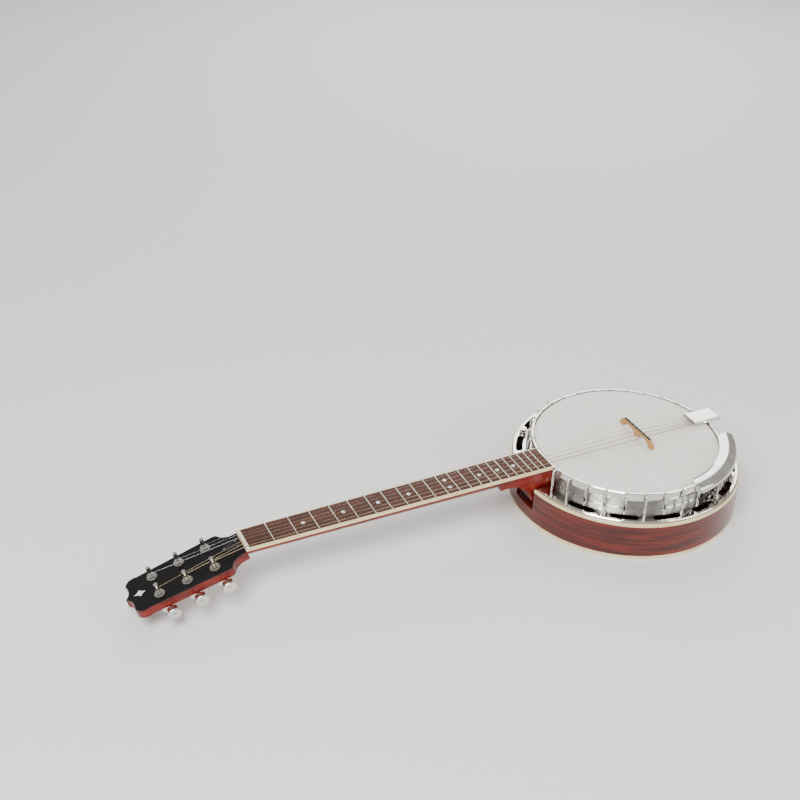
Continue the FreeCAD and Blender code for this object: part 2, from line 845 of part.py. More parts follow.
def make_neck():
    """Shaft, heel and peghead in one piece of wood, bored and grooved."""
    slab = Part.Face(peghead_outline()).extrude(V(0, 0, veneer - peghead_thick)).translated(V(0, 0, -veneer))
    holes = [rod(V(x, y, -30), V(x, y, 10), 5.0) for x, y, _ in post_places()]
    slab = slab.cut(holes)
    body = to_peghead(slab)
    body = to_neck(make_shaft().fuse(make_heel())).fuse(body).removeSplitter()
    seat = to_neck(block(nut_x - nut_thick, nut_x + 0.01, -30, 30, board_top - board_thick, board_top + 20))
    under_board = board_top - board_thick
    groove = to_neck(block(nut_x - 3, board_end - 40, -3.05, 3.05, under_board - 10.05, board_top))
    cuts = [seat, groove, to_peghead(rod_pocket())]
    cuts.append(Part.makeCylinder(hoop_out_r + 1.2, 60, V(0, 0, hoop_bottom - 2)))
    cuts.append(Part.makeCylinder(rim_out_r + TOUCH, 60, V(0, 0, ledge_z + 0.2)))
    cuts.append(Part.makeCylinder(collar_out_r + 0.3, ledge_z + 0.2))
    cuts += [rod(V(-168.5, 0, z), V(-100, 0, z), rod_r + 0.02) for z in (rod_high, rod_low)]
    return body.cut(cuts)


def make_veneer():
    """Black face of the peghead."""
    plate = Part.Face(peghead_outline()).extrude(V(0, 0, -veneer))
    holes = [rod(V(x, y, -30), V(x, y, 10), 5.0) for x, y, _ in post_places()]
    plate = plate.cut(holes + [rod_pocket(), inlay_shape(0.02).translated(V(0, 0, -0.8))])
    plate = to_peghead(plate)
    return plate.cut(to_neck(block(nut_x - nut_thick, nut_x + 5, -30, 30, board_top - 12, board_top + 20)))


def inlay_shape(grow=0.0):
    """A plain pearl lozenge with hollow sides."""
    x0 = -148.0
    a, b, c = 9.0 + grow, 6.0 + grow, 3.4 + grow
    star = wire(
        [
            V(x0 - a, 0, 0),
            (V(x0 - c, -c * 0.7, 0), V(x0, -b, 0)),
            (V(x0 + c, -c * 0.7, 0), V(x0 + a, 0, 0)),
            (V(x0 + c, c * 0.7, 0), V(x0, b, 0)),
            (V(x0 - c, c * 0.7, 0), V(x0 - a, 0, 0)),
        ]
    )
    return Part.Face(star).extrude(V(0, 0, 2.0))


def make_inlay():
    trimmed = inlay_shape().common(block(-180, -100, -20, 20, 0, 0.8))
    return to_peghead(trimmed.translated(V(0, 0, -0.8)))


def nut_string_z(k):
    """Height of string k's slot centre in the nut, before the neck is tipped."""
    return board_top + nut_action + string_radii[k]


def make_nut():
    """Bone nut with a rounded top and six string slots."""
    half = board_nut_w / 2
    low = board_top - board_thick + TOUCH
    blank = block(nut_x - nut_thick + TOUCH, nut_x - TOUCH, -half, half, low, board_top + nut_above)
    tops = [e for e in blank.Edges if e.BoundBox.ZMin > board_top and e.BoundBox.YLength > 5]
    blank = blank.makeFillet(1.4, tops)
    cuts = []
    for k, radius in enumerate(string_radii):
        y, z, half = string_y(k, string_gap_nut), nut_string_z(k), radius + 0.02
        cuts.append(rod(V(nut_x - 9, y, z), V(nut_x + 5, y, z), half))
        cuts.append(block(nut_x - 9, nut_x + 5, y - half, y + half, z, z + 5))
    worn = []
    for k, radius in enumerate(string_radii):
        _, on_bridge, on_nut, at_post, _ = string_route(k)
        worn += [rod(on_bridge, on_nut, radius + TOUCH), rod(on_nut, at_post, radius + TOUCH)]
    return to_neck(blank.cut(cuts)).cut(worn)


def make_truss_rod():
    """Double-acting steel truss rod in the neck's groove."""
    top = board_top - board_thick - 0.1
    return to_neck(block(nut_x + 2, board_end - 42, -3, 3, top - 9.8, top))


def make_truss_nut():
    """Socket nut at the rod's end, reached through the pocket."""
    base = neck_point(nut_x + 1.9, 0, board_top - board_thick - 5.2)
    way = neck_point(nut_x - 10, 0, board_top - board_thick - 5.2) - base
    nut = Part.makeCylinder(2.8, 9.0, base, way)
    return nut.cut(hexagon(3.0, 4.0, base + way * (5.5 / way.Length), way))


def cover_outline():
    """Bell-shaped outline of the truss rod's cover."""
    return wire(
        [
            V(-3.5, -8.5, 0),
            (V(-13, -8.4, 0), V(-25, -4.5, 0)),
            (V(-28, 0, 0), V(-25, 4.5, 0)),
            (V(-13, 8.4, 0), V(-3.5, 8.5, 0)),
        ]
    )


def make_rod_cover():
    plate = Part.Face(cover_outline()).extrude(V(0, 0, 1.6)).translated(V(0, 0, TOUCH))
    holes = [rod(V(x, y, -1), V(x, y, 3), 0.85) for x, y in cover_screws]
    return to_peghead(plate.cut(holes))


def make_cover_screws():
    """Three small slotted screws through the truss rod cover."""
    screws = []
    for x, y in cover_screws:
        shank = rod(V(x, y, 0.4), V(x, y, 1.9), 0.8)
        head = rod(V(x, y, 1.7), V(x, y, 2.4), 1.6)
        slot = block(x - 2, x + 2, y - 0.2, y + 0.2, 2.1, 3)
        screws.append(shank.fuse(head).cut(slot))
    return to_peghead(Part.makeCompound(screws))


# ---------------------------------------------------------------- tuners
def place_tuner(shape, x, y, side):
    """Carries a tuner built for the treble edge to its post, mirrored for the bass edge."""
    handed = shape if side > 0 else shape.mirror(V(0, 0, 0), Y)
    return to_peghead(handed.translated(V(x, y, 0)))


def housing_blank():
    """Outside of the die-cast housing, behind the peghead."""
    body = block(-7.0, 10.2, -8.0, 9.0, housing_z, -peghead_thick - TOUCH)
    uprights = [e for e in body.Edges if abs(e.Vertexes[0].Z - e.Vertexes[-1].Z) > 5]
    body = body.makeFillet(3.0, uprights)
    lows = [e for e in body.Edges if max(v.Z for v in e.Vertexes) < housing_z + 0.01]
    body = body.makeFillet(1.6, lows)
    boss = rod(V(worm_gap, 8.0, worm_z), V(worm_gap, 13.5, worm_z), 3.6)
    ear = rod(V(-9.5, -6.0, -peghead_thick - 3.0), V(-9.5, -6.0, -peghead_thick - TOUCH), 3.2)
    arm = block(-9.5, -5, -9.2, -2.8, -peghead_thick - 3.0, -peghead_thick - TOUCH)
    return body.fuse([boss, ear, arm])


def make_housing():
    """Housing hollowed for the gear and the worm, with its mounting ear."""
    cavity = rod(V(0, 0, worm_z - 1.6), V(0, 0, worm_z + 1.6), 5.4)
    tunnel = rod(V(worm_gap, -5.2, worm_z), V(worm_gap, 5.2, worm_z), 2.9)
    bore = rod(V(worm_gap, -6.6, worm_z), V(worm_gap, 20, worm_z), 1.75)
    post = rod(V(0, 0, housing_z + 1.2), V(0, 0, 0), post_r + 0.06)
    ear_hole = rod(V(-9.5, -6, -30), V(-9.5, -6, 0), 1.15)
    return housing_blank().removeSplitter().cut([cavity, tunnel, bore, post, ear_hole])


def make_worm():
    """Worm: a helical ridge on the button's shaft, in mesh with the gear."""
    root = worm_pitch_r - 0.62
    length = 3 * worm_pitch
    crest, base = 0.30, 0.86
    helix = Part.makeHelix(worm_pitch, length, root)
    tip = worm_pitch_r + 0.42
    tooth = Part.makePolygon(
        [
            V(root - 0.2, 0, -base / 2),
            V(root - 0.2, 0, base / 2),
            V(tip, 0, crest / 2),
            V(tip, 0, -crest / 2),
            V(root - 0.2, 0, -base / 2),
        ]
    )
    thread = Part.Wire(helix).makePipeShell([tooth], True, True)
    core = Part.makeCylinder(root, length + 4, V(0, 0, -2))
    worm = core.fuse(thread)
    ends = Part.makeCylinder(9, 9, V(0, 0, length - 0.2)).fuse(Part.makeCylinder(9, 9, V(0, 0, 0.2 - 9)))
    keep = Part.makeCylinder(root, length + 8, V(0, 0, -4))
    worm = worm.cut(ends.cut(keep))
    return worm.translated(V(0, 0, -length / 2))


def make_button():
    """Thumb button: a flattened oval with waisted faces."""
    outline = wire(
        [
            V(-6.0, 0, -7.6),
            (V(-9.6, 0, 0), V(-6.0, 0, 7.6)),
            (V(0, 0, 8.6), V(6.0, 0, 7.6)),
            (V(9.6, 0, 0), V(6.0, 0, -7.6)),
            (V(0, 0, -8.6), V(-6.0, 0, -7.6)),
        ]
    )
    knob = Part.Face(outline).extrude(V(0, 10.5, 0))
    knob = knob.makeFillet(2.0, knob.Edges)
    return knob


def make_button_set(x, y, side):
    """Button, shaft with worm and end screw, which turn together."""
    worm = make_worm().rotated(V(0, 0, 0), X, -90)
    shaft = rod(V(0, 3.5, 0), V(0, 17.0, 0), 1.65).fuse(rod(V(0, -6.2, 0), V(0, -3.0, 0), 1.4))
    collar = rod(V(0, 13.7, 0), V(0, 17.0, 0), 3.0)
    shaft = worm.fuse([shaft, collar])
    button = make_button().translated(V(0, 17.0 + TOUCH, 0))
    screw = rod(V(0, 27.65, 0), V(0, 28.5, 0), 2.2)
    group = Part.makeCompound([shaft, button, screw]).translated(V(worm_gap, 0, worm_z))
    return place_tuner(group, x, y, side)


def make_gear():
    """Brass gear on the post: straight trapezoid teeth."""
    root, tip = gear_pitch_r - 0.62, gear_pitch_r + 0.42
    face = 1.4
    core = Part.makeCylinder(root, face, V(0, 0, -face / 2))
    teeth = []
    for k in range(gear_teeth):
        half_base, half_tip = 0.46, 0.17
        tooth = Part.makePolygon(
            [
                V(root - 0.3, -half_base, -face / 2),
                V(tip, -half_tip, -face / 2),
                V(tip, half_tip, -face / 2),
                V(root - 0.3, half_base, -face / 2),
                V(root - 0.3, -half_base, -face / 2),
            ]
        )
        tooth = Part.Face(tooth).extrude(V(0, 0, face))
        teeth.append(about_z(tooth, 360.0 * k / gear_teeth))
    return core.fuse(teeth).removeSplitter()


def make_post_set(x, y, side):
    """String post and its gear, which turn together."""
    low = housing_z + 1.5
    post = rod(V(0, 0, low), V(0, 0, post_high), post_r)
    waist = ring(post_waist_r, post_r + 1, 5.2, 11.5)
    hole = rod(V(-5, 0, string_hole_z), V(5, 0, string_hole_z), 0.9)
    cap = Part.makeCylinder(post_r - 0.5, 0.5, V(0, 0, post_high))
    post = post.cut([waist, hole]).fuse(cap)
    half_tooth = 180.0 / gear_teeth
    gear = about_z(make_gear(), half_tooth).translated(V(0, 0, worm_z))
    return place_tuner(post.fuse(gear), x, y, side)


def make_bushing():
    """Threaded bushing with a hexagonal collar on the peghead's face."""
    body = ring(post_r + 0.1, 4.9, -10.0, 0.3)
    washer = ring(4.95, 7.2, TOUCH, 0.7)
    collar = hexagon(11.0, 2.6, V(0, 0, 0.75), Z).cut(Part.makeCylinder(post_r + 0.1, 10))
    sleeve = ring(post_r + 0.1, 4.9, 0.2, 1.0)
    return Part.makeCompound([body.fuse([collar, sleeve]), washer])


def make_mount_screw():
    """Small screw through the housing's ear."""
    shank = rod(V(-9.5, -6, -peghead_thick - 3.5), V(-9.5, -6, -peghead_thick - 0.1), 1.1)
    head = rod(V(-9.5, -6, -peghead_thick - 4.4), V(-9.5, -6, -peghead_thick - 3.05), 2.2)
    return shank.fuse(head)


def for_each_tuner(make):
    """One compound of a tuner piece at all six places."""
    return Part.makeCompound([place_tuner(make(), x, y, side) for x, y, side in post_places()])


# ---------------------------------------------------------------- strings
def string_route(k):
    """Anchor, bridge, nut and post points of string k, and its wrap on the post."""
    radius = string_radii[k]
    on_bridge = V(bridge_x, string_y(k, string_gap_bridge), head_top + bridge_high + 2 * TOUCH + radius)
    anchor = V(tail_posts_x - tail_post_r - TOUCH - min(radius, 0.45), string_y(k, string_gap_tail), anchor_z)
    on_nut = neck_point(nut_x - 2.0, string_y(k, string_gap_nut), nut_string_z(k) + TOUCH)
    x, y, side = post_places()[k if k < 3 else 8 - k]
    wrap_r = post_waist_r + 0.09 + radius
    at_post = peghead_point(x, y - side * wrap_r, string_hole_z)
    return anchor, on_bridge, on_nut, at_post, (x, y, wrap_r)


def make_wraps(k, x, y, wrap_r):
    """Three close turns of string k round the post at x, y of the peghead."""
    radius = string_radii[k]
    outline = [(wrap_r - radius, string_hole_z + radius), (wrap_r, string_hole_z + radius)]
    for turn in range(3):
        z = string_hole_z - 2 * turn * radius
        outline.append(((wrap_r + radius, z), (wrap_r, z - radius)))
    outline.append((wrap_r - radius, string_hole_z - 5 * radius))
    return to_peghead(turned(outline).translated(V(x, y, 0)))


def unit(vector):
    """The vector's direction, one long."""
    return vector * (1.0 / vector.Length)


def make_run(points, radius):
    """Round bars end to end through the points, each cut square at its ends."""
    legs = [(a, b, unit(b - a) * TOUCH) for a, b in zip(points, points[1:])]
    return [rod(a + gap, b - gap, radius) for a, b, gap in legs]


def make_string(k):
    """String k: its loop, its three straight runs, and its turns round the post."""
    radius = string_radii[k]
    anchor, on_bridge, on_nut, at_post, (x, y, wrap_r) = string_route(k)
    thin = min(radius, 0.45)
    loop_r = tail_post_r + TOUCH + thin
    loop = Part.makeTorus(loop_r, thin, anchor + V(loop_r, 0, 0), Z)
    short = math.sqrt((wrap_r + radius + TOUCH) ** 2 - (wrap_r - radius) ** 2)
    start = anchor + unit(on_bridge - anchor) * (thin + TOUCH)
    end = at_post + unit(on_nut - at_post) * short
    run = make_run([start, on_bridge, on_nut, end], radius)
    return [loop, *run, make_wraps(k, x, y, wrap_r)]


def make_strings(which):
    """A compound of some of the strings."""
    return Part.makeCompound([piece for k in which for piece in make_string(k)])


# ---------------------------------------------------------------- build
def build():
    """Every sub-part by name."""
    parts = {
        "rim": make_rim(),
        "drum_head": make_head(),
        "crown_hoop": make_crown_hoop(),
        "tension_hoop": make_tension_hoop(),
        "tension_hooks": make_hooks(),
        "hook_nuts": make_hook_nuts(),
        "flange": make_flange(),
        "resonator_side": make_resonator_side(),
        "resonator_back": make_resonator_back(),
        "resonator_binding": make_resonator_binding(),
        "resonator_lugs": make_resonator_lugs(),
        "lug_screws": make_lug_screws(),
        "coordinator_rods": make_coordinator_rods(),
        "lag_bolts": make_lag_bolts(),
        "rod_nuts": make_rod_nuts(),
        "rod_washers": make_rod_washers(),
        "tailpiece_bracket": make_tail_bracket(),
        "tailpiece_bolt": make_tail_bolt(),
        "tailpiece_frame": make_tail_frame(),
        "tailpiece_pin": make_tail_pin(),
        "tailpiece_cover": make_tail_cover(),
        "armrest": make_armrest(),
        "armrest_brackets": make_armrest_brackets(),
        "armrest_screws": make_armrest_screws(),
        "bridge": make_bridge(),
        "bridge_cap": make_bridge_cap(),
        "neck": make_neck(),
        "headstock_veneer": make_veneer(),
        "headstock_inlay": make_inlay(),
        "fretboard": make_fretboard(),
        "fretboard_binding": make_board_binding(),
        "frets": make_frets(),
        "position_dots": make_dots(),
        "nut": make_nut(),
        "truss_rod": make_truss_rod(),
        "truss_rod_nut": make_truss_nut(),
        "truss_rod_cover": make_rod_cover(),
        "cover_screws": make_cover_screws(),
        "wound_strings": make_strings(range(3)),
        "plain_strings": make_strings(range(3, 6)),
        "tuner_housings": for_each_tuner(make_housing),
        "tuner_bushings": for_each_tuner(make_bushing),
        "tuner_screws": for_each_tuner(make_mount_screw),
    }
    for number, angle in enumerate(screw_angles, 1):
        parts[f"thumb_screw_{number}"] = make_thumb_screw(angle)
    for number, (x, y, side) in enumerate(post_places(), 1):
        parts[f"tuner_{number}_button"] = make_button_set(x, y, side)
        parts[f"tuner_{number}_post"] = make_post_set(x, y, side)
    return parts


def main():
    """Writes one STEP file for each sub-part."""
    os.makedirs("parts", exist_ok=True)
    for name, shape in build().items():
        if not shape.isValid() or not shape.Solids or shape.Volume <= 0:
            raise ValueError(f"{name} is not a sound solid")
        shape.exportStep(f"parts/{name}.step")
        print(name, len(shape.Solids), round(shape.Volume, 1))


if __name__ == "__main__":
    main()
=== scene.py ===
"""Looks of a six-string resonator banjo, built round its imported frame.

Metres.  The pot's centre on the resonator's back is the origin, +Z points out
of the head, the neck runs towards -X and the bass side is -Y.
"""

import logging
import math
from dataclasses import dataclass
from enum import Enum
from typing import Any, Dict, List, Mapping, Optional, Sequence, Tuple, Union

import bpy
import numpy as np
from mathutils import Matrix, Vector


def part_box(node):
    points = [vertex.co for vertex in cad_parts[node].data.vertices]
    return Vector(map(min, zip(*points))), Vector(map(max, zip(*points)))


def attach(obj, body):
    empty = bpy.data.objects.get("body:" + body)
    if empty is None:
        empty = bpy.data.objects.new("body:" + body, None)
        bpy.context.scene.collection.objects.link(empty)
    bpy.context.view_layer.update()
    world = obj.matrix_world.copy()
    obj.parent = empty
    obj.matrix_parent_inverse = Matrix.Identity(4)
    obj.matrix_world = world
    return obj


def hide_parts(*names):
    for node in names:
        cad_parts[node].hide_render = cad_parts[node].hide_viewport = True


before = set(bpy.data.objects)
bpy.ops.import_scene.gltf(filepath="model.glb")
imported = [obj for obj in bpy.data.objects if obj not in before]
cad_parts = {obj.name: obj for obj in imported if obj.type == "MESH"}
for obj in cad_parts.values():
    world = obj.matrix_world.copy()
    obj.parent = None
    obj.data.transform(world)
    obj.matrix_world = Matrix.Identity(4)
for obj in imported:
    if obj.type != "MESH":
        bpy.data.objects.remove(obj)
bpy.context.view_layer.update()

LOG = logging.getLogger("banjo")
MM = 0.001
ROOT = "instrument"
# Radius of the bent side, which turns an angle round the pot into a length of grain.
SIDE_RADIUS = 0.171

Array = np.ndarray
Point = Tuple[float, float, float]


def linear(colour: str, alpha: float = 1.0) -> Tuple[float, float, float, float]:
    """Turns an sRGB hex colour into linear light.

    Args:
        colour: Six hex digits, with or without a leading hash.
        alpha: The fourth value.

    Returns:
        Red, green, blue and alpha for a Blender socket.
    """
    digits = colour.lstrip("#")
    values = [int(digits[k : k + 2], 16) / 255 for k in (0, 2, 4)]
    light = [v / 12.92 if v <= 0.04045 else ((v + 0.055) / 1.055) ** 2.4 for v in values]
    return light[0], light[1], light[2], alpha


def per(size: float) -> float:
    """Repeats in a metre of a pattern whose size is given in millimetres."""
    return 1.0 / (size * MM)


def bands(pitch: float) -> float:
    """Scale that gives a Wave texture one line for each pitch in millimetres."""
    return 2 * math.pi / 20 * per(pitch)


class Recipe:
    """A material being made: its node tree and the one way to add to it."""

    def __init__(self, name: str) -> None:
        """Starts a material with a Principled shader on its output."""
        self.material = bpy.data.materials.new(name)
        self.material.use_nodes = True
        self.tree = self.material.node_tree
        self.tree.nodes.clear()
        output = self.add("ShaderNodeOutputMaterial")
        self.shader = self.add("ShaderNodeBsdfPrincipled")
        self.tree.links.new(self.shader.outputs[0], output.inputs[0])
        self.place = self.add("ShaderNodeTexCoord").outputs["Object"]

    def add(self, kind: str, inputs: Optional[Mapping[Union[str, int], Any]] = None,
            **settings: Any) -> bpy.types.Node:
        """Adds a node with its settings and links.

        Args:
            kind: Blender's name for the node.
            inputs: Values or output sockets by input name or number.
            **settings: Properties of the node; stops fills a colour ramp.

        Returns:
            The new node.
        """
        node = self.tree.nodes.new(kind)
        for stop, (place, colour) in enumerate(settings.pop("stops", ())):
            elements = node.color_ramp.elements
            element = elements[stop] if stop < 2 else elements.new(place)
            element.position, element.color = place, colour
        for key, value in settings.items():
            setattr(node, key, value)
        self.wire(node, inputs or {})
        return node

    def wire(self, node: bpy.types.Node, inputs: Mapping[Union[str, int], Any]) -> None:
        """Sets or links a node's inputs."""
        for key, value in inputs.items():
            if isinstance(value, bpy.types.NodeSocket):
                self.tree.links.new(value, node.inputs[key])
            else:
                node.inputs[key].default_value = value

    def finish(self, inputs: Mapping[str, Any]) -> bpy.types.Material:
        """Fills the shader's sockets and returns the material."""
        self.wire(self.shader, inputs)
        return self.material


class Grain(Enum):
    """Which way a board's grain runs."""

    LENGTHWISE = "x"
    CROSSWISE = "y"
    AROUND = "round the pot"


@dataclass(frozen=True)
class Wood:
    """Sawn and finished timber: streaks, pores and, where lacquered, a coat.

    Args:
        name: The finish's name.
        dark: Colour of the late-wood streaks.
        middle: Main colour.
        light: Colour of the pale streaks.
        grain: Which way the fibres run.
        streak: Width of a streak in millimetres.
        pore: Width of a pore in millimetres.
        roughness: Lowest and highest roughness.
        coat: Weight of the lacquer.
        relief: Depth of the pores in millimetres.
        sheen: How strongly the bare surface reflects; 0.5 is plain dielectric.
    """

    name: str
    dark: str
    middle: str
    light: str
    grain: Grain = Grain.LENGTHWISE
    streak: float = 5.0
    pore: float = 0.35
    roughness: Tuple[float, float] = (0.3, 0.42)
    coat: float = 1.0
    relief: float = 0.03
    sheen: float = 0.3

    def stretched(self, recipe: Recipe, width: float, length: float) -> bpy.types.NodeSocket:
        """Object coordinates scaled so that one unit is a streak's width by its length."""
        place = recipe.place
        if self.grain is Grain.AROUND:
            apart = recipe.add("ShaderNodeSeparateXYZ", {0: place})
            angle = recipe.add("ShaderNodeMath", {0: apart.outputs[1], 1: apart.outputs[0]},
                               operation="ARCTAN2")
            arc = recipe.add("ShaderNodeMath", {0: angle.outputs[0], 1: SIDE_RADIUS},
                             operation="MULTIPLY")
            far = recipe.add("ShaderNodeVectorMath", {0: place}, operation="LENGTH")
            place = recipe.add("ShaderNodeCombineXYZ", {0: arc.outputs[0], 1: far.outputs["Value"],
                                                         2: apart.outputs[2]}).outputs[0]
        scale = [per(length), per(width), per(width)]
        if self.grain is Grain.CROSSWISE:
            scale = [per(width), per(length), per(width)]
        return recipe.add("ShaderNodeVectorMath", {0: place, 1: scale},
                          operation="MULTIPLY").outputs[0]

    def material(self) -> bpy.types.Material:
        """Builds the material: streaks over a slow drift of colour, darkened by pores."""
        recipe = Recipe(self.name)
        streaks = recipe.add("ShaderNodeTexNoise", {
            "Vector": self.stretched(recipe, self.streak, self.streak * 22), "Scale": 1.0,
            "Detail": 7.0, "Roughness": 0.62, "Distortion": 0.6})
        colour = recipe.add("ShaderNodeValToRGB", {0: streaks.outputs[0]}, stops=(
            (0.30, linear(self.dark)), (0.72, linear(self.light)), (0.5, linear(self.middle))))
        drift = recipe.add("ShaderNodeTexNoise", {
            "Vector": self.stretched(recipe, 60.0, 180.0), "Scale": 1.0, "Detail": 2.0})
        shade = recipe.add("ShaderNodeMapRange",
                           {0: drift.outputs[0], 1: 0.3, 2: 0.7, 3: 0.82, 4: 1.12})
        tone = recipe.add("ShaderNodeMix", {0: 1.0, 6: colour.outputs[0], 7: shade.outputs[0]},
                          data_type="RGBA", blend_type="MULTIPLY")
        pores = recipe.add("ShaderNodeTexNoise", {
            "Vector": self.stretched(recipe, self.pore, self.pore * 16), "Scale": 1.0,
            "Detail": 3.0, "Roughness": 0.55})
        pit = recipe.add("ShaderNodeMapRange",
                         {0: pores.outputs[0], 1: 0.56, 2: 0.70, 3: 0.0, 4: 1.0})
        deep = recipe.add("ShaderNodeMath", {0: pit.outputs[0], 1: 0.55}, operation="MULTIPLY")
        final = recipe.add("ShaderNodeMix",
                           {0: deep.outputs[0], 6: tone.outputs[2], 7: linear(self.dark)},
                           data_type="RGBA")
        rough = recipe.add("ShaderNodeMapRange", {0: streaks.outputs[0], 1: 0.3, 2: 0.7,
                                                  3: self.roughness[0], 4: self.roughness[1]})
        bump = recipe.add("ShaderNodeBump", {"Height": pit.outputs[0], "Strength": 0.5,
                                             "Distance": self.relief * MM}, invert=True)
        return recipe.finish({
            "Base Color": final.outputs[2], "Roughness": rough.outputs[0],
            "Normal": bump.outputs[0],
            "IOR": 1.5, "Specular IOR Level": self.sheen, "Coat Weight": self.coat,
            "Coat Roughness": 0.04, "Coat IOR": 1.5})


@dataclass(frozen=True)
class Plating:
    """Polished and plated metal: near-mirror with faint haze and handling marks.

    Args:
        name: The finish's name.
        bright: Colour where the plate is clean.
        dull: Colour where it is hazed.
        roughness: Lowest and highest roughness.
        haze: Size of the hazed patches in millimetres.
        ripple: Height of the polishing ripple in millimetres.
    """

    name: str
    bright: str
    dull: str
    roughness: Tuple[float, float] = (0.06, 0.13)
    haze: float = 24.0
    ripple: float = 0.002

    def material(self) -> bpy.types.Material:
        """Builds the material: two noises haze the mirror, a fine one ripples it."""
        recipe = Recipe(self.name)
        patches = recipe.add("ShaderNodeTexNoise", {"Vector": recipe.place, "Scale": per(self.haze),
                                                    "Detail": 3.0, "Roughness": 0.5})
        specks = recipe.add("ShaderNodeTexNoise", {"Vector": recipe.place, "Scale": per(0.7),
                                                   "Detail": 2.0})
        both = recipe.add("ShaderNodeMix", {0: 0.15, 2: patches.outputs[0], 3: specks.outputs[0]})
        haze = recipe.add("ShaderNodeMapRange",
                          {0: both.outputs[0], 1: 0.38, 2: 0.68, 3: 0.0, 4: 1.0})
        colour = recipe.add("ShaderNodeMix", {0: haze.outputs[0], 6: linear(self.bright),
                                              7: linear(self.dull)}, data_type="RGBA")
        rough = recipe.add("ShaderNodeMapRange", {0: haze.outputs[0], 3: self.roughness[0],
                                                  4: self.roughness[1]})
        bump = recipe.add("ShaderNodeBump", {"Height": specks.outputs[0], "Strength": 0.4,
                                             "Distance": self.ripple * MM})
        return recipe.finish({"Base Color": colour.outputs[2], "Metallic": 1.0,
                              "Roughness": rough.outputs[0], "Normal": bump.outputs[0]})


@dataclass(frozen=True)
class TurnedMetal:
    """Lathe-turned or drawn bare metal: fine lines with painted shade in their grooves, and a soft
    sheen.

    Args:
        name: The finish's name.
        bright: Colour of the ridges.
        dull: Colour of the grooves, painted shade, and of the darker clouds.
        axis: Direction that the lines follow one another in.
        pitch: Line spacing in millimetres, drawn coarser than the real tool marks.
        roughness: Lowest and highest roughness.
    """

    name: str
    bright: str
    dull: str
    axis: str = "Z"
    pitch: float = 0.9
    roughness: Tuple[float, float] = (0.26, 0.42)

    def material(self) -> bpy.types.Material:
        """Builds the material: wavering bands for tool marks, painted darker in the grooves as
        shade, over a cloudy tone.
        """
        recipe = Recipe(self.name)
        lines = recipe.add("ShaderNodeTexWave", {"Vector": recipe.place, "Scale": bands(self.pitch),
                                                 "Distortion": 0.8, "Detail": 2.0,
                                                 "Detail Scale": 0.4},
                           bands_direction=self.axis)
        cloud = recipe.add("ShaderNodeTexNoise", {"Vector": recipe.place, "Scale": per(14.0),
                                                  "Detail": 6.0, "Roughness": 0.6})
        mixed = recipe.add("ShaderNodeMix", {0: 0.65, 2: lines.outputs["Fac"], 3: cloud.outputs[0]})
        # Colour runs from painted groove shade to the lighter ridges, mixed with a random cloudy
        # tone.
        colour = recipe.add("ShaderNodeMix", {0: mixed.outputs[0], 6: linear(self.dull),
                                              7: linear(self.bright)}, data_type="RGBA")
        rough = recipe.add("ShaderNodeMapRange", {0: mixed.outputs[0], 3: self.roughness[1],
                                                  4: self.roughness[0]})
        bump = recipe.add("ShaderNodeBump", {"Height": lines.outputs["Fac"], "Strength": 0.35,
                                             "Distance": 0.01 * MM})
        return recipe.finish({"Base Color": colour.outputs[2], "Metallic": 1.0,
                              "Roughness": rough.outputs[0], "Normal": bump.outputs[0]})


@dataclass(frozen=True)
class FrostedFilm:
    """Polyester drum head sprayed with a white frosting.

    Args:
        name: The finish's name.
        frost: Colour of the frosting.
        worn: Colour where fingers and strings have greyed it.
        grit: Size of the sprayed grains in millimetres, drawn about twice the real size.
    """

    name: str
    frost: str
    worn: str
    grit: float = 0.7

    def material(self) -> bpy.types.Material:
        """Builds the material: sprayed grain, faint smudges and light through the film."""
        recipe = Recipe(self.name)
        grains = recipe.add("ShaderNodeTexNoise", {"Vector": recipe.place, "Scale": per(self.grit),
                                                   "Detail": 4.0, "Roughness": 0.7})
        smudge = recipe.add("ShaderNodeTexNoise", {"Vector": recipe.place, "Scale": per(46.0),
                                                   "Detail": 5.0, "Roughness": 0.55,
                                                   "Distortion": 0.5})
        grey = recipe.add("ShaderNodeMapRange",
                          {0: smudge.outputs[0], 1: 0.4, 2: 0.72, 3: 0.0, 4: 0.75})
        tone = recipe.add("ShaderNodeMix", {0: grey.outputs[0], 6: linear(self.frost),
                                            7: linear(self.worn)}, data_type="RGBA")
        speck = recipe.add("ShaderNodeMapRange",
                           {0: grains.outputs[0], 1: 0.3, 2: 0.7, 3: 0.95, 4: 1.03})
        colour = recipe.add("ShaderNodeMix", {0: 1.0, 6: tone.outputs[2], 7: speck.outputs[0]},
                            data_type="RGBA", blend_type="MULTIPLY")
        rough = recipe.add("ShaderNodeMapRange",
                           {0: smudge.outputs[0], 1: 0.3, 2: 0.7, 3: 0.5, 4: 0.62})
        bump = recipe.add("ShaderNodeBump", {"Height": grains.outputs[0], "Strength": 0.45,
                                             "Distance": 0.03 * MM})
        return recipe.finish({
            "Base Color": colour.outputs[2], "Roughness": rough.outputs[0],
            "Normal": bump.outputs[0],
            "IOR": 1.6, "Subsurface Weight": 0.12, "Subsurface Radius": (0.002, 0.002, 0.0016),
            "Subsurface Scale": 1.0})


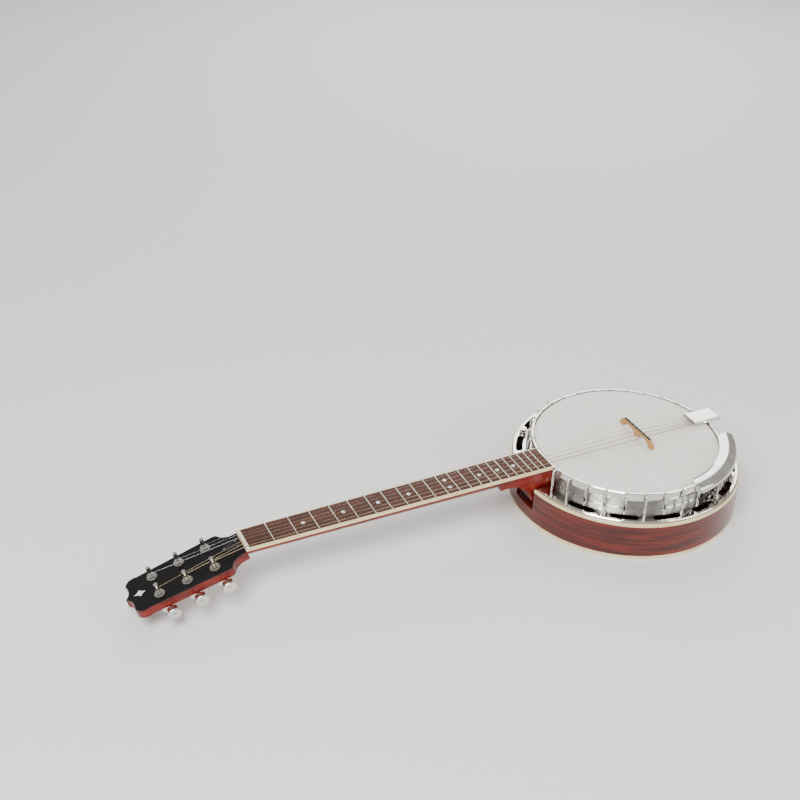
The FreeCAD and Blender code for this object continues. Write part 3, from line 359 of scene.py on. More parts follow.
@dataclass(frozen=True)
class Moulded:
    """Polished or moulded plastic, bone or lacquer: one colour with slow clouding.

    Args:
        name: The finish's name.
        main: Main colour.
        cloud: Colour that the clouds drift towards.
        roughness: Lowest and highest roughness.
        patch: Size of the clouds in millimetres.
        glow: Weight of the light that passes under the surface.
        coat: Weight of a clear coat.
        relief: Height of the fine orange peel in millimetres.
        sheen: How strongly the surface reflects; 0.5 is plain dielectric.
    """

    name: str
    main: str
    cloud: str
    roughness: Tuple[float, float] = (0.2, 0.34)
    patch: float = 7.0
    glow: float = 0.0
    coat: float = 0.0
    relief: float = 0.006
    sheen: float = 0.5

    def material(self) -> bpy.types.Material:
        """Builds the material: clouded colour and a faint orange-peel surface."""
        recipe = Recipe(self.name)
        cloud = recipe.add("ShaderNodeTexNoise", {"Vector": recipe.place, "Scale": per(self.patch),
                                                  "Detail": 5.0, "Roughness": 0.6})
        peel = recipe.add("ShaderNodeTexNoise",
                          {"Vector": recipe.place, "Scale": per(0.9), "Detail": 2.0})
        amount = recipe.add("ShaderNodeMapRange",
                            {0: cloud.outputs[0], 1: 0.35, 2: 0.68, 3: 0.0, 4: 1.0})
        colour = recipe.add("ShaderNodeMix", {0: amount.outputs[0], 6: linear(self.main),
                                              7: linear(self.cloud)}, data_type="RGBA")
        rough = recipe.add("ShaderNodeMapRange", {0: cloud.outputs[0], 1: 0.3, 2: 0.7,
                                                  3: self.roughness[0], 4: self.roughness[1]})
        bump = recipe.add("ShaderNodeBump", {"Height": peel.outputs[0], "Strength": 0.3,
                                             "Distance": self.relief * MM})
        return recipe.finish({
            "Base Color": colour.outputs[2], "Roughness": rough.outputs[0],
            "Normal": bump.outputs[0],
            "IOR": 1.52, "Specular IOR Level": self.sheen, "Subsurface Weight": self.glow,
            "Subsurface Radius": (0.0016, 0.0012, 0.0007),
            "Subsurface Scale": 1.0, "Coat Weight": self.coat, "Coat Roughness": 0.05})


@dataclass(frozen=True)
class Pearl:
    """Ground mother-of-pearl: milky layers that turn pink and green.

    Args:
        name: The finish's name.
        milk: Main colour.
        blush: Warm layer colour.
        sea: Cool layer colour.
        layer: Spacing of the layers in millimetres.
    """

    name: str
    milk: str
    blush: str
    sea: str
    layer: float = 1.6

    def material(self) -> bpy.types.Material:
        """Builds the material: folded bands of three tints under a glossy coat."""
        recipe = Recipe(self.name)
        folds = recipe.add("ShaderNodeTexWave", {"Vector": recipe.place, "Scale": bands(self.layer),
                                                 "Distortion": 9.0, "Detail": 3.0,
                                                 "Detail Scale": 0.8},
                           bands_direction="DIAGONAL")
        colour = recipe.add("ShaderNodeValToRGB", {0: folds.outputs["Fac"]}, stops=(
            (0.1, linear(self.blush)), (0.9, linear(self.sea)), (0.5, linear(self.milk))))
        rough = recipe.add("ShaderNodeMapRange", {0: folds.outputs["Fac"], 3: 0.12, 4: 0.26})
        return recipe.finish({
            "Base Color": colour.outputs[0], "Roughness": rough.outputs[0], "IOR": 1.53,
            "Thin Film Thickness": 420.0, "Thin Film IOR": 1.5, "Coat Weight": 0.6,
            "Coat Roughness": 0.05})


@dataclass(frozen=True)
class StringWire:
    """Music wire, plain or wound with a fine ribbed wrap.

    Args:
        name: The finish's name.
        bright: Colour on the ridges.
        groove: Colour between the turns, painted shade.
        pitch: Spacing of the wrap's turns in millimetres, drawn coarser than real.
        depth: Height of the ribs in millimetres, nearly none on plain wire.
    """

    name: str
    bright: str
    groove: str
    pitch: float = 0.5
    depth: float = 0.05

    def material(self) -> bpy.types.Material:
        """Builds the material: a wave that follows the string's own length, painting shade between
        the turns.
        """
        recipe = Recipe(self.name)
        along = recipe.add("ShaderNodeAttribute", attribute_name="along")
        place = recipe.add("ShaderNodeCombineXYZ", {0: along.outputs["Fac"]})
        turns = recipe.add("ShaderNodeTexWave",
                           {"Vector": place.outputs[0], "Scale": bands(self.pitch)},
                           bands_direction="X")
        stain = recipe.add("ShaderNodeTexNoise",
                           {"Vector": recipe.place, "Scale": per(30.0), "Detail": 4.0})
        # Painted shade between the turns, the wire's own colour on the ridges.
        colour = recipe.add("ShaderNodeMix", {0: turns.outputs["Fac"], 6: linear(self.groove),
                                              7: linear(self.bright)}, data_type="RGBA")
        rough = recipe.add("ShaderNodeMapRange",
                           {0: stain.outputs[0], 1: 0.3, 2: 0.7, 3: 0.2, 4: 0.36})
        bump = recipe.add("ShaderNodeBump", {"Height": turns.outputs["Fac"], "Strength": 0.9,
                                             "Distance": self.depth * MM})
        return recipe.finish({"Base Color": colour.outputs[2], "Metallic": 1.0,
                              "Roughness": rough.outputs[0], "Normal": bump.outputs[0]})


@dataclass(frozen=True)
class Palette:
    """Every finish on the banjo, each made once."""

    # Nickel-chrome plate: cool mirror that takes its look from what it reflects.
    plate: Plating = Plating("bright_nickel_chrome_plate", "#e0dfdb", "#cfcdc7")
    # Heavier handling haze on the parts that a player touches.
    handled: Plating = Plating("handled_chrome_plate", "#e0deda", "#c9c6bf", (0.09, 0.17), 15.0)
    # Cast aluminium turned on a lathe: pale grey with rings of tool marks whose grooves are painted
    # darker as shade.
    rim: TurnedMetal = TurnedMetal("turned_cast_aluminium", "#cfcecb", "#8f8e8b")
    # Zinc-plated mild steel: greyer and softer than the plate, with painted shade in its drawn
    # lines.
    steel: TurnedMetal = TurnedMetal("zinc_plated_steel", "#b9bab8", "#7f8180", "X", 0.7)
    # Turned brass of the rod's nut: warm and slightly dull, with painted shade in its turned lines.
    brass: TurnedMetal = TurnedMetal("turned_brass", "#c8a564", "#8c6d38", "X", 0.7)
    # Nickel-silver fret wire: polished along the crown.
    fret: Plating = Plating("nickel_silver_fret_wire", "#d9d4c8", "#b4ac9d", (0.14, 0.26), 5.0)
    # Frosted polyester: chalky white, slightly warm, greyed where it is touched.
    film: FrostedFilm = FrostedFilm("frosted_polyester_film", "#f0ebe2", "#e3ded4")
    # Stained mahogany under gloss lacquer: deep red-brown with long streaks.
    neck_wood: Wood = Wood("stained_mahogany_gloss", "#2c0403", "#6e1005", "#96220c", coat=0.25)
    side_wood: Wood = Wood("bent_mahogany_ply_gloss", "#260604", "#571208", "#7d2410", Grain.AROUND,
                           coat=0.5)
    back_wood: Wood = Wood("mahogany_back_gloss", "#280705", "#5b1409", "#842812",
                           Grain.CROSSWISE, 7.0, coat=0.5)
    # Oiled rosewood: cool brown with near-black streaks and open pores.
    board_wood: Wood = Wood("oiled_rosewood", "#21100a", "#4f2e22", "#74493a",
                            Grain.LENGTHWISE, 2.6, 0.4, (0.45, 0.62), 0.0, 0.06, 0.15)
    # Raw maple: pale tan, close grain across the strings.
    bridge_wood: Wood = Wood("planed_maple", "#a9743f", "#c8965a", "#ddb57c",
                             Grain.CROSSWISE, 1.4, 0.3, (0.45, 0.6), 0.1, 0.02)
    # Oiled ebony: black with a hint of brown.
    ebony: Wood = Wood("oiled_ebony", "#0e0b0a", "#1d1714", "#2d2420",
                       Grain.CROSSWISE, 1.2, 0.3, (0.34, 0.5), 0.1, 0.02)
    # Celluloid strip: aged cream that glows a little at its edges.
    binding: Moulded = Moulded("aged_cream_celluloid", "#f0dfb2", "#dfc893", (0.22, 0.34), 11.0,
                               0.25)
    # Polished bone: off-white with faint fibres.
    bone: Moulded = Moulded("polished_bone", "#ece4cc", "#d8cba8", (0.25, 0.4), 2.0, 0.3)
    # Black lacquer over veneer: deep gloss.
    lacquer: Moulded = Moulded("black_gloss_lacquer", "#070607", "#0e0b0c", (0.12, 0.2), 20.0,
                               sheen=0.3)
    # Pressed plastic cover: black, a little duller than the lacquer round it.
    cover: Moulded = Moulded("black_pressed_plastic", "#101011", "#1b1b1c", (0.24, 0.36), 9.0)
    pearl: Pearl = Pearl("ground_mother_of_pearl", "#e8ebe6", "#ead9dc", "#cfe3dc")
    # Bronze wrap: golden ribs with grooves painted dark as shade.
    bronze: StringWire = StringWire("bronze_wound_wire", "#b3a58c", "#7c6c53", 0.5, 0.02)
    # Tinned steel: a bright hairline; its groove colour paints faint shade bands.
    wire: StringWire = StringWire("tinned_steel_wire", "#b4b3af", "#9f9e9a", 2.0, 0.001)

    def materials(self) -> Dict[str, bpy.types.Material]:
        """Builds each finish's material, by its field's name."""
        return {name: getattr(self, name).material() for name in self.__dataclass_fields__}


def grid_faces(rows: int, columns: int, round_rows: bool, round_columns: bool) -> Array:
    """Quads of a grid of points, row by row.

    Args:
        rows: Points down the grid.
        columns: Points across it.
        round_rows: Whether the last row joins the first.
        round_columns: Whether the last column joins the first.

    Returns:
        One line of four point numbers for each quad.
    """
    i, j = np.meshgrid(np.arange(rows - (not round_rows)), np.arange(columns - (not round_columns)),
                       indexing="ij")
    below, right = (i + 1) % rows, (j + 1) % columns
    quads = np.stack([i * columns + j, i * columns + right, below * columns + right,
                      below * columns + j], -1)
    return quads.reshape(-1, 4)


def make_piece(name: str, points: Array, faces: Sequence[Sequence[int]],
               material: bpy.types.Material,
               along: Optional[Array] = None) -> bpy.types.Object:
    """Puts points and faces into a smooth-shaded object at the origin.

    Args:
        name: The piece's name.
        points: Its vertices in metres.
        faces: Vertex numbers of each face, outward by the right-hand rule.
        material: What it is made of.
        along: Distance down the piece at each vertex, for patterns that follow it.

    Returns:
        The new object.
    """
    mesh = bpy.data.meshes.new(name)
    mesh.from_pydata(points.reshape(-1, 3).tolist(), [], [list(map(int, f)) for f in faces])
    mesh.polygons.foreach_set("use_smooth", np.ones(len(mesh.polygons), bool))
    if along is not None:
        values = mesh.attributes.new("along", "FLOAT", "POINT")
        values.data.foreach_set("value", along.astype(np.float32).ravel())
    mesh.materials.append(material)
    mesh.update()
    piece = bpy.data.objects.new(name, mesh)
    bpy.context.scene.collection.objects.link(piece)
    return piece


def capped(loops: Array) -> Tuple[Array, List[List[int]]]:
    """Joins a row of closed loops into a skin and closes both ends.

    Args:
        loops: Points as (loop, place round it, xyz), turning clockwise when
            seen from the first loop towards the last.

    Returns:
        The points, with a middle point for each end, and the faces.
    """
    count, sides = loops.shape[:2]
    faces = grid_faces(count, sides, False, True).tolist()
    points = np.concatenate([loops.reshape(-1, 3), loops[0].mean(0)[None], loops[-1].mean(0)[None]])
    first, last = count * sides, count * sides + 1
    near = np.arange(sides)
    after = (near + 1) % sides
    base = (count - 1) * sides
    faces += np.stack([np.full(sides, first), after, near], 1).tolist()
    faces += np.stack([np.full(sides, last), base + near, base + after], 1).tolist()
    return points, faces


def tube(path: Array, radius: Array, sides: int) -> Tuple[Array, List[List[int]], Array]:
    """Carries a circle along a path.

    Each circle stands square to the path, with its first point level: its
    sideways axis is +Z crossed with the direction of travel.

    Args:
        path: Points of the centre line.
        radius: Radius at each of them.
        sides: Points round the circle.

    Returns:
        The points, the faces, and the distance along the path at each point.
    """
    ahead = np.gradient(path, axis=0)
    ahead /= np.linalg.norm(ahead, axis=1)[:, None]
    side = np.cross([0.0, 0.0, 1.0], ahead)
    side /= np.linalg.norm(side, axis=1)[:, None]
    up = np.cross(ahead, side)
    turn = np.linspace(0, 2 * np.pi, sides, endpoint=False)
    ring = side[:, None] * np.cos(turn)[None, :, None] + up[:, None] * np.sin(turn)[None, :, None]
    points, faces = capped(path[:, None] + ring * radius[:, None, None])
    step = np.linalg.norm(np.diff(path, axis=0), axis=1)
    gone = np.concatenate([[0.0], np.cumsum(step)])
    along = np.concatenate([np.repeat(gone, sides), gone[[0, -1]]])
    return points, faces, along


@dataclass
class Assembly:
    """A group of pieces that share the palette."""

    materials: Dict[str, bpy.types.Material]

    def dress(self, finishes: Mapping[str, Sequence[str]]) -> None:
        """Gives carried-over nodes their finishes.

        Args:
            finishes: Node names by the finish that they take.
        """
        for finish, nodes in finishes.items():
            for node in nodes:
                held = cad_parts[node].data.materials
                held.clear()
                held.append(self.materials[finish])
                LOG.info("dressed %s in %s", node, self.materials[finish].name)

    def fit(self, piece: bpy.types.Object, slot: str, body: str, *nodes: str) -> None:
        """Places a new piece on its body and hides the nodes that it replaces."""
        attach(piece, body)
        if nodes:
            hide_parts(*nodes)
        LOG.info("built %s with %d faces", piece.name, len(piece.data.polygons))


@dataclass
class Pot(Assembly):
    """Rim, head, hoops, hooks, flange and the rods across it."""

    def build(self) -> None:
        """Dresses the pot's turned and plated metal, and its head."""
        self.dress({
            "rim": ("rim",),
            "film": ("drum_head",),
            "plate": ("tension_hoop", "crown_hoop", "tension_hooks", "hook_nuts", "flange"),
            "steel": ("coordinator_rods", "lag_bolts", "rod_nuts", "rod_washers"),
        })


@dataclass
class Resonator(Assembly):
    """Wooden shell that closes the back of the pot."""

    def build(self) -> None:
        """Dresses the bent side, the flat back, the bindings and the fastenings."""
        self.dress({
            "side_wood": ("resonator_side",),
            "back_wood": ("resonator_back",),
            "binding": ("resonator_binding",),
            "steel": ("resonator_lugs", "lug_screws"),
            "handled": tuple(f"thumb_screw_{n}" for n in range(1, 5)),
        })


@dataclass
class Tailpiece(Assembly):
    """Plate, hinged lid and the bracket that holds them."""

    def build(self) -> None:
        """Dresses the plated tailpiece."""
        self.dress({
            "plate": ("tailpiece_bracket", "tailpiece_bolt", "tailpiece_frame"),
            "handled": ("tailpiece_cover",),
            "steel": ("tailpiece_pin",),
        })


@dataclass
class Armrest(Assembly):
    """Pressed plate that keeps the forearm off the head.

    Args:
        start: Angle of its one end in degrees.
        stop: Angle of its other end.
        corner: Radius of its inner corners.
        thick: Thickness of the sheet.
        edge: How far its edges are broken.
        inset: Degrees that each end keeps inside the plate's full length.
        window: Steps of the section that are averaged to round its bends, an odd number.
        section: Radius and height of the points that its section passes through.
    """

    start: float = -84.0
    stop: float = -22.0
    corner: float = 13 * MM
    thick: float = 1.3 * MM
    edge: float = 0.45 * MM
    inset: float = 0.4
    window: int = 61
    section: Tuple[Tuple[float, float], ...] = (
        (137.4, 101.4), (141.0, 102.9), (145.5, 103.9), (150.0, 104.15), (154.5, 103.6),
        (158.6, 102.3), (161.3, 100.6), (162.9, 98.2), (163.7, 95.0))

    def profile(self, share: Array) -> Tuple[Array, Array]:
        """Radius and height at a share of the section's length.

        The points are joined by straight runs, and each place is then the
        average of its neighbours under a raised cosine.  Past each end the
        section goes on as itself turned half round that end, which keeps the
        end where it is.

        Args:
            share: Shares of the section's length, from 0 at its inner edge to 1.

        Returns:
            Radius and height in metres at each share.
        """
        points = np.array(self.section) * MM
        step = np.linalg.norm(np.diff(points, axis=0), axis=1)
        gone = np.concatenate([[0.0], np.cumsum(step)]) / step.sum()
        fine = np.linspace(0, 1, 400)
        radius, height = np.interp(fine, gone, points[:, 0]), np.interp(fine, gone, points[:, 1])
        kernel = np.hanning(self.window) / np.hanning(self.window).sum()
        half = self.window // 2
        padded = [np.concatenate([2 * v[0] - v[half:0:-1], v, 2 * v[-1] - v[-2 : -half - 2 : -1]])
                  for v in (radius, height)]
        radius, height = (np.convolve(v, kernel, "valid") for v in padded)
        return np.interp(share, fine, radius), np.interp(share, fine, height)

    def build(self) -> None:
        """Builds the plate and dresses its straps.

        The surface is the section turned about the pot's axis.  Near each end
        the section starts further out, by the fall of a quarter circle, which
        rounds the plate's inner corners.  Solidify gives the sheet its
        thickness and Bevel breaks its edges.
        """
        angle = np.radians(np.linspace(self.start + self.inset, self.stop - self.inset, 150))
        inner = self.section[0][0] * MM
        from_end = np.minimum(angle - angle[0], angle[-1] - angle) * (inner + self.corner)
        inside = np.clip(self.corner - from_end, 0, self.corner)
        cut = self.corner - np.sqrt(np.maximum(self.corner ** 2 - inside ** 2, 0))
        length = np.linalg.norm(np.diff(np.array(self.section), axis=0), axis=1).sum() * MM
        begin = cut / length
        share = begin[:, None] + (1 - begin[:, None]) * np.linspace(0, 1, 40)[None]
        radius, height = self.profile(share)
        x, y = radius * np.cos(angle)[:, None], radius * np.sin(angle)[:, None]
        points = np.stack([x, y, height], -1)
        faces = grid_faces(*share.shape, False, False)[:, ::-1]
        piece = make_piece("armrest_plate", points, faces, self.materials["handled"])
        sheet = piece.modifiers.new("sheet", "SOLIDIFY")
        sheet.thickness, sheet.offset = self.thick, 0.0
        bevel = piece.modifiers.new("edge", "BEVEL")
        bevel.width, bevel.segments, bevel.limit_method = self.edge, 3, "ANGLE"
        self.fit(piece, "plated_steel", ROOT, "armrest")
        self.dress({"plate": ("armrest_brackets",), "steel": ("armrest_screws",)})


@dataclass
class Bridge(Assembly):
    """Three-footed bridge with an ebony edge.

    Args:
        place: Where its middle stands on the head, along X.
        width: From foot to foot across the strings.
        foot: Width of each foot.
        arch: Height of the two arches.
        shoulder: How much narrower the top is at each end.
        outer: Height of each end, below its shoulder.
        body: Height of the maple.
        cap: Height of the ebony.
        taper: Half the thickness at the feet, and how much of it the top has lost.
        corners: Power of the superellipse for the maple and for the ebony.
        chamfer: How far from each end the thickness starts to close.
    """

    place: float = 18 * MM
    width: float = 84 * MM
    foot: float = 9 * MM
    arch: float = 7.6 * MM
    shoulder: float = 9 * MM
    outer: float = 3.0 * MM
    body: float = 11.5 * MM
    cap: float = 2 * MM
    taper: Tuple[float, float] = (3.6, 2.3)
    corners: Tuple[float, float] = (0.28, 0.3)
    chamfer: float = 0.6 * MM

    def half_thickness(self, height: Array) -> Array:
        """Half the bridge's thickness, which tapers evenly with height."""
        share = height / (self.body + self.cap)
        return (self.taper[0] - self.taper[1] * share) * MM

    def bar(self, across: Array, low: Array, high: Array, base: float, corner: float) -> Array:
        """Loops of a rounded bar between two heights, at each place across.

        Each loop is a superellipse: cosine and sine raised to a small power
        fill out its corners, and its width follows the bridge's taper.  It
        turns clockwise seen along Y, so that the skin over it faces outward.

        Args:
            across: Places across the strings.
            low: Underside at each place.
            high: Top at each place.
            base: Height of the head.
            corner: Power of the superellipse.

        Returns:
            Points as (place, round the loop, xyz).
        """
        turn = np.linspace(2 * np.pi, 0, 48, endpoint=False)
        wide = np.sign(np.cos(turn)) * np.abs(np.cos(turn)) ** corner
        tall = np.sign(np.sin(turn)) * np.abs(np.sin(turn)) ** corner
        height = (low + high)[:, None] / 2 + (high - low)[:, None] / 2 * tall
        x = self.place + self.half_thickness(height) * wide
        y = np.broadcast_to(across[:, None], height.shape)
        return np.stack([x, y, base + height], -1)

    def build(self) -> None:
        """Builds the maple body and the ebony edge.

        The underside is zero over each foot and half an ellipse over each arch;
        the top falls away over the shoulders by a quarter of a circle.
        """
        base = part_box("bridge")[0].z
        half = self.width / 2
        across = np.linspace(-half, half, 321)
        gap = half - 1.5 * self.foot
        share = np.clip((np.abs(across) - self.foot / 2) / gap, 0, 1)
        arc = np.sqrt(np.maximum(1 - (2 * share - 1) ** 2, 0))
        low = self.arch * arc * (share > 0) * (share < 1)
        fall = np.clip((np.abs(across) - (half - self.shoulder)) / self.shoulder, 0, 1)
        high = self.outer + (self.body - self.outer) * np.sqrt(1 - fall ** 2)
        inset = np.minimum(1, (half - np.abs(across)) / self.chamfer + 0.55)
        loops = self.bar(across, low, high, base, self.corners[0])
        loops[..., 0] = self.place + (loops[..., 0] - self.place) * inset[:, None]
        points, faces = capped(loops)
        body = make_piece("bridge_body", points, faces, self.materials["bridge_wood"])
        self.fit(body, "maple", ROOT, "bridge")
        reach = half - self.shoulder
        across = np.linspace(-reach, reach, 121)
        top = np.full_like(across, self.body + self.cap)
        loops = self.bar(across, top - self.cap, top, base, self.corners[1])
        points, faces = capped(loops)
        edge = make_piece("bridge_edge", points, faces, self.materials["ebony"])
        self.fit(edge, "ebony", ROOT, "bridge_cap")


@dataclass
class Neck(Assembly):
    """Shaft, heel, fretboard, headstock and their trim."""

    def build(self) -> None:
        """Dresses the woods, the bindings, the frets and the inlays."""
        self.dress({
            "neck_wood": ("neck",),
            "lacquer": ("headstock_veneer",),
            "pearl": ("headstock_inlay", "position_dots"),
            "board_wood": ("fretboard",),
            "binding": ("fretboard_binding",),
            "fret": ("frets",),
            "bone": ("nut",),
            "cover": ("truss_rod_cover",),
            "brass": ("truss_rod_nut",),
            "steel": ("truss_rod", "cover_screws"),
        })


@dataclass
class Tuners(Assembly):
    """Six sealed worm-and-gear tuners."""

    def build(self) -> None:
        """Dresses the housings, posts and buttons."""
        self.dress({
            "plate": ("tuner_housings", "tuner_bushings", "tuner_screws")
            + tuple(f"tuner_{n}_post" for n in range(1, 7)),
            "handled": tuple(f"tuner_{n}_button" for n in range(1, 7)),
        })


@dataclass
class Strings(Assembly):
    """Six strings from the tailpiece over bridge and nut to the posts.

    Args:
        radii: Radius of each string, bass first.
        gaps: String spacing at the tailpiece, bridge and nut.
        tail: Where the tailpiece's posts stand, and the height of the loops.
        tail_post: Radius of those posts.
        bridge: Bridge's place along X and the height of its edge.
        board_end: Where the fretboard ends, and its height there.
        scale: String length from bridge to nut.
        neck_angle: How far the neck leans back, in degrees.
        head_angle: How far the headstock leans back from the neck.
        head_drop: Depth of the headstock's face under the fretboard's face.
        nut: The nut's thickness, and the height of a string's underside over the board.
        posts: First post's distance from the nut, and the step between posts.
        sides: Posts' distance from the middle, nearest and farthest.
        waist: Radius of a post where the string winds.
        hole: Height of the string's hole over the headstock.
        turns: How often a string winds round its post.
        rise: Helix pitch as a multiple of the string's radius.
        twisted: Length of the twisted end, the run over which it fades, and its pitch.
        loop_wire: Largest radius in a loop, where a wound string has no wrap.
    """

    radii: Tuple[float, ...] = (0.58, 0.46, 0.33, 0.216, 0.165, 0.127)
    gaps: Tuple[float, float, float] = (4.0, 10.4, 7.3)
    tail: Tuple[float, float] = (125.2, 98.9)
    tail_post: float = 1.0
    bridge: Tuple[float, float] = (18.0, 108.55)
    board_end: Tuple[float, float] = (-145.5, 98.0)
    scale: float = 628.65
    neck_angle: float = 1.3
    head_angle: float = 15.0
    head_drop: float = 4.6
    nut: Tuple[float, float] = (5.0, 1.4)
    posts: Tuple[float, float] = (46.0, 39.5)
    sides: Tuple[float, float] = (21.5, 18.5)
    waist: float = 2.45
    hole: float = 8.6
    turns: float = 3.3
    rise: float = 2.04
    twisted: Tuple[float, float, float] = (14.0, 3.0, 1.6)
    loop_wire: float = 0.45

    def lean(self, points: Array, angle: float) -> Array:
        """Turns points back about the Y axis by an angle in degrees."""
        c, s = math.cos(math.radians(angle)), math.sin(math.radians(angle))
        x, y, z = np.moveaxis(points, -1, 0)
        return np.stack([c * x - s * z, y, s * x + c * z], -1)

    def on_neck(self, points: Array) -> Array:
        """Leans points given level with the head back with the neck."""
        pivot = np.array([self.board_end[0], 0.0, self.board_end[1]])
        return self.lean(points - pivot, self.neck_angle) + pivot

    def on_headstock(self, points: Array) -> Array:
        """Carries points of the headstock's own frame to their place."""
        base = np.array([self.bridge[0] - self.scale - self.nut[0], 0.0,
                         self.board_end[1] - self.head_drop])
        return self.on_neck(self.lean(points, self.head_angle) + base)

    def route(self, k: int) -> Tuple[Array, Array]:
        """Centre line and radius of one string, in millimetres.

        It circles its tailpiece post once, runs straight over the bridge and
        through the nut, and winds down its tuner post as a helix whose pitch
        is the string's own thickness.  Next to the loop the wire is twisted
        back on itself, so the radius swells and ripples there.

        Args:
            k: Number of the string, bass first.

        Returns:
            Points and the radius at each.
        """
        radius = self.radii[k]
        place = k - 2.5
        y_tail, y_bridge, y_nut = (place * gap for gap in self.gaps)
        loop_r = self.tail_post + 0.06 + min(radius, self.loop_wire)
        turn = np.linspace(np.pi * 1.06, np.pi * 2.94, 40)
        eye = np.stack([self.tail[0] + loop_r * np.cos(turn), y_tail + loop_r * np.sin(turn),
                        self.tail[1] + 0.0 * turn], 1)
        start = np.array([self.tail[0] - loop_r - 0.8, y_tail, self.tail[1]])
        crown = np.array([self.bridge[0], y_bridge, self.bridge[1] + 0.02 + radius])
        groove_z = self.board_end[1] + self.nut[1] + radius + 0.03
        groove = self.on_neck(np.array([self.bridge[0] - self.scale - 2.0, y_nut, groove_z]))
        side = -1 if k < 3 else 1
        number = k if k < 3 else 5 - k
        post = np.array([-self.posts[0] - self.posts[1] * number,
                         side * (self.sides[0] + (self.sides[1] - self.sides[0]) * number / 2)])
        wrap_r = self.waist + 0.09 + radius
        wind = np.linspace(0, 2 * np.pi * self.turns, 170)
        angle = -side * (np.pi / 2 + wind)
        down = self.hole - self.rise * radius * wind / (2 * np.pi)
        helix = np.stack([post[0] + wrap_r * np.cos(angle),
                          post[1] + wrap_r * np.sin(angle), down], 1)
        helix = self.on_headstock(helix)
        share = np.linspace(0, 1, 120)[:, None]
        run = start + (crown - start) * share
        over = crown + (groove - crown) * np.linspace(0, 1, 60)[1:, None]
        to_post = groove + (helix[0] - groove) * np.linspace(0, 1, 30)[1:-1, None]
        path = np.concatenate([eye, run, over, to_post, helix])
        thick = np.full(len(path), radius)
        thick[: len(eye)] = min(radius, self.loop_wire)
        gone = np.linalg.norm(run - start, axis=1)
        length, fade, pitch = self.twisted
        swell = np.clip((length - gone) / fade, 0, 1)
        ripple = 0.16 + 0.1 * np.sin(gone * 2 * np.pi / pitch)
        thick[len(eye) : len(eye) + len(run)] += swell * ripple
        return path, thick

    def build(self) -> None:
        """Builds each string as a tube along its route."""
        for k in range(len(self.radii)):
            path, thick = self.route(k)
            points, faces, along = tube(path * MM, thick * MM, 10)
            wound = k < 3
            finish = "bronze" if wound else "wire"
            piece = make_piece(f"string_{k + 1}", points, faces, self.materials[finish], along)
            kind = "wound" if wound else "plain"
            self.fit(piece, f"{kind}_string", ROOT, f"{kind}_strings")


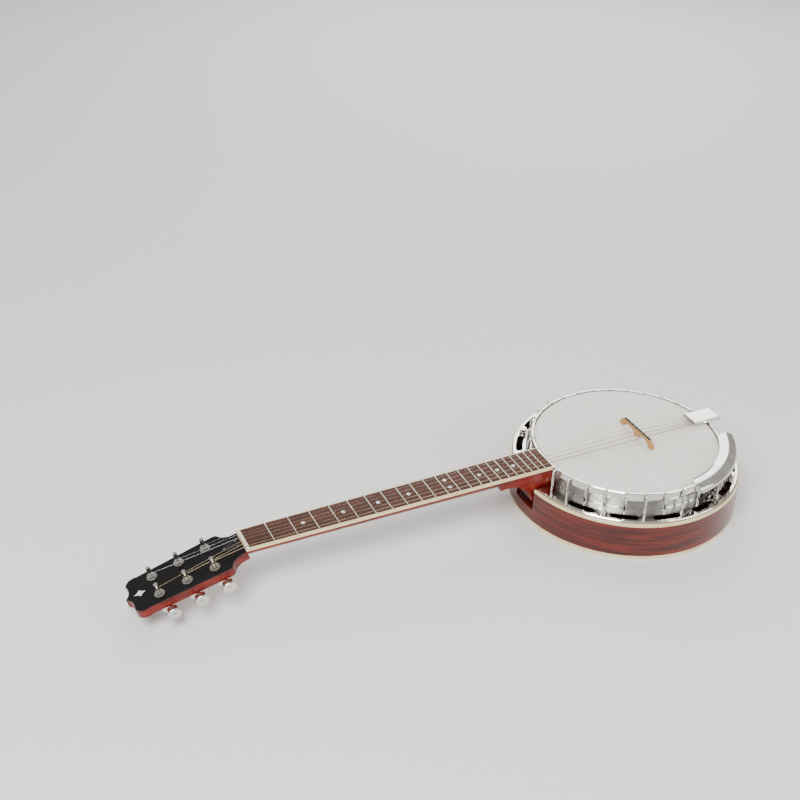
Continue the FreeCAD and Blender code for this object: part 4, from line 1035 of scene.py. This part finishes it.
@dataclass
class Studio:
    """Pale floor, soft lights and the camera.

    Args:
        target: Point that the camera looks at.
        azimuth: Degrees from straight in front, turning towards +X.
        elevation: Degrees above the floor.
        roll: Degrees that the camera leans over.
        distance: From the target to the camera.
        lens: Focal length on a 36 mm wide sensor.
        floor: Half the floor's width.
        level: How far from the middle the floor stays level.
        aim: Point that the lights face, the middle of the object.
    """

    target: Point = (-0.2723, 0.2305, 0.095)
    azimuth: float = -26.09
    elevation: float = 31.68
    roll: float = 1.96
    distance: float = 2.031
    lens: float = 58.03
    floor: float = 9.0
    level: float = 7.0
    aim: Point = (-0.25, 0.0, 0.05)

    def lay_floor(self) -> None:
        """Lays one pale matt sheet that curves up far behind the object.

        Its height is zero as far as it stays level and then half the square of
        the distance beyond, over a square grid.
        """
        side = np.linspace(-self.floor, self.floor, 61)
        x, y = np.meshgrid(side, side, indexing="ij")
        beyond = np.maximum(np.hypot(x, y) - self.level, 0)
        points = np.stack([x, y, 0.5 * beyond ** 2], -1)
        faces = grid_faces(*x.shape, False, False)[:, ::-1]
        recipe = Recipe("pale_backdrop_paper")
        cloud = recipe.add("ShaderNodeTexNoise",
                           {"Vector": recipe.place, "Scale": 0.7, "Detail": 1.0})
        tone = recipe.add("ShaderNodeMix",
                          {0: cloud.outputs[0], 6: linear("#e9e8e6"), 7: linear("#efeeec")},
                          data_type="RGBA")
        paper = recipe.finish({"Base Color": tone.outputs[2], "Roughness": 0.85})
        make_piece("floor", points, faces, paper)

    def softbox(self, name: str, place: Point, size: float, power: float) -> None:
        """Hangs a square area light aimed at the middle of the object."""
        data = bpy.data.lights.new(name, "AREA")
        data.shape, data.size, data.energy = "SQUARE", size, power
        light = bpy.data.objects.new(name, data)
        light.location = place
        ray = Vector(self.aim) - Vector(place)
        light.rotation_euler = ray.to_track_quat("-Z", "Y").to_euler()
        bpy.context.scene.collection.objects.link(light)

    def light(self) -> None:
        """Sets a pale sky and three soft lights."""
        world = bpy.data.worlds.new("studio_air")
        world.use_nodes = True
        air = world.node_tree.nodes["Background"]
        air.inputs["Color"].default_value = linear("#f3f1ee")
        air.inputs["Strength"].default_value = 0.62
        bpy.context.scene.world = world
        self.softbox("key_light", (-1.7, -1.3, 2.4), 1.4, 112.0)
        self.softbox("fill_light", (1.7, -1.9, 1.5), 1.8, 32.0)
        self.softbox("back_light", (1.25, 2.4, 1.85), 2.2, 60.0)

    def set_camera(self) -> None:
        """Puts the camera on its sphere round the target and rolls it."""
        a, e, r = (math.radians(v) for v in (self.azimuth, self.elevation, self.roll))
        back = Vector((math.sin(a) * math.cos(e), -math.cos(a) * math.cos(e), math.sin(e)))
        right = (-back).cross(Vector((0, 0, 1))).normalized()
        up = right.cross(-back)
        right, up = right * math.cos(r) + up * math.sin(r), up * math.cos(r) - right * math.sin(r)
        data = bpy.data.cameras.new("camera")
        data.lens, data.sensor_width, data.clip_end = self.lens, 36.0, 60.0
        camera = bpy.data.objects.new("camera", data)
        turn = Matrix((right, up, back)).transposed().to_4x4()
        camera.matrix_world = Matrix.Translation(Vector(self.target) + back * self.distance) @ turn
        bpy.context.scene.collection.objects.link(camera)
        bpy.context.scene.camera = camera

    def build(self) -> None:
        """Lays the floor, hangs the lights and sets the camera."""
        self.lay_floor()
        self.light()
        self.set_camera()


def main() -> None:
    """Builds every sub-assembly in order."""
    logging.basicConfig(level=logging.INFO, format="%(message)s")
    materials = Palette().materials()
    for assembly in (Pot, Resonator, Tailpiece, Armrest, Bridge, Neck, Tuners, Strings):
        LOG.info("-- %s", assembly.__name__)
        assembly(materials).build()
    Studio().build()
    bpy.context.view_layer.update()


if __name__ == "__main__":
    main()
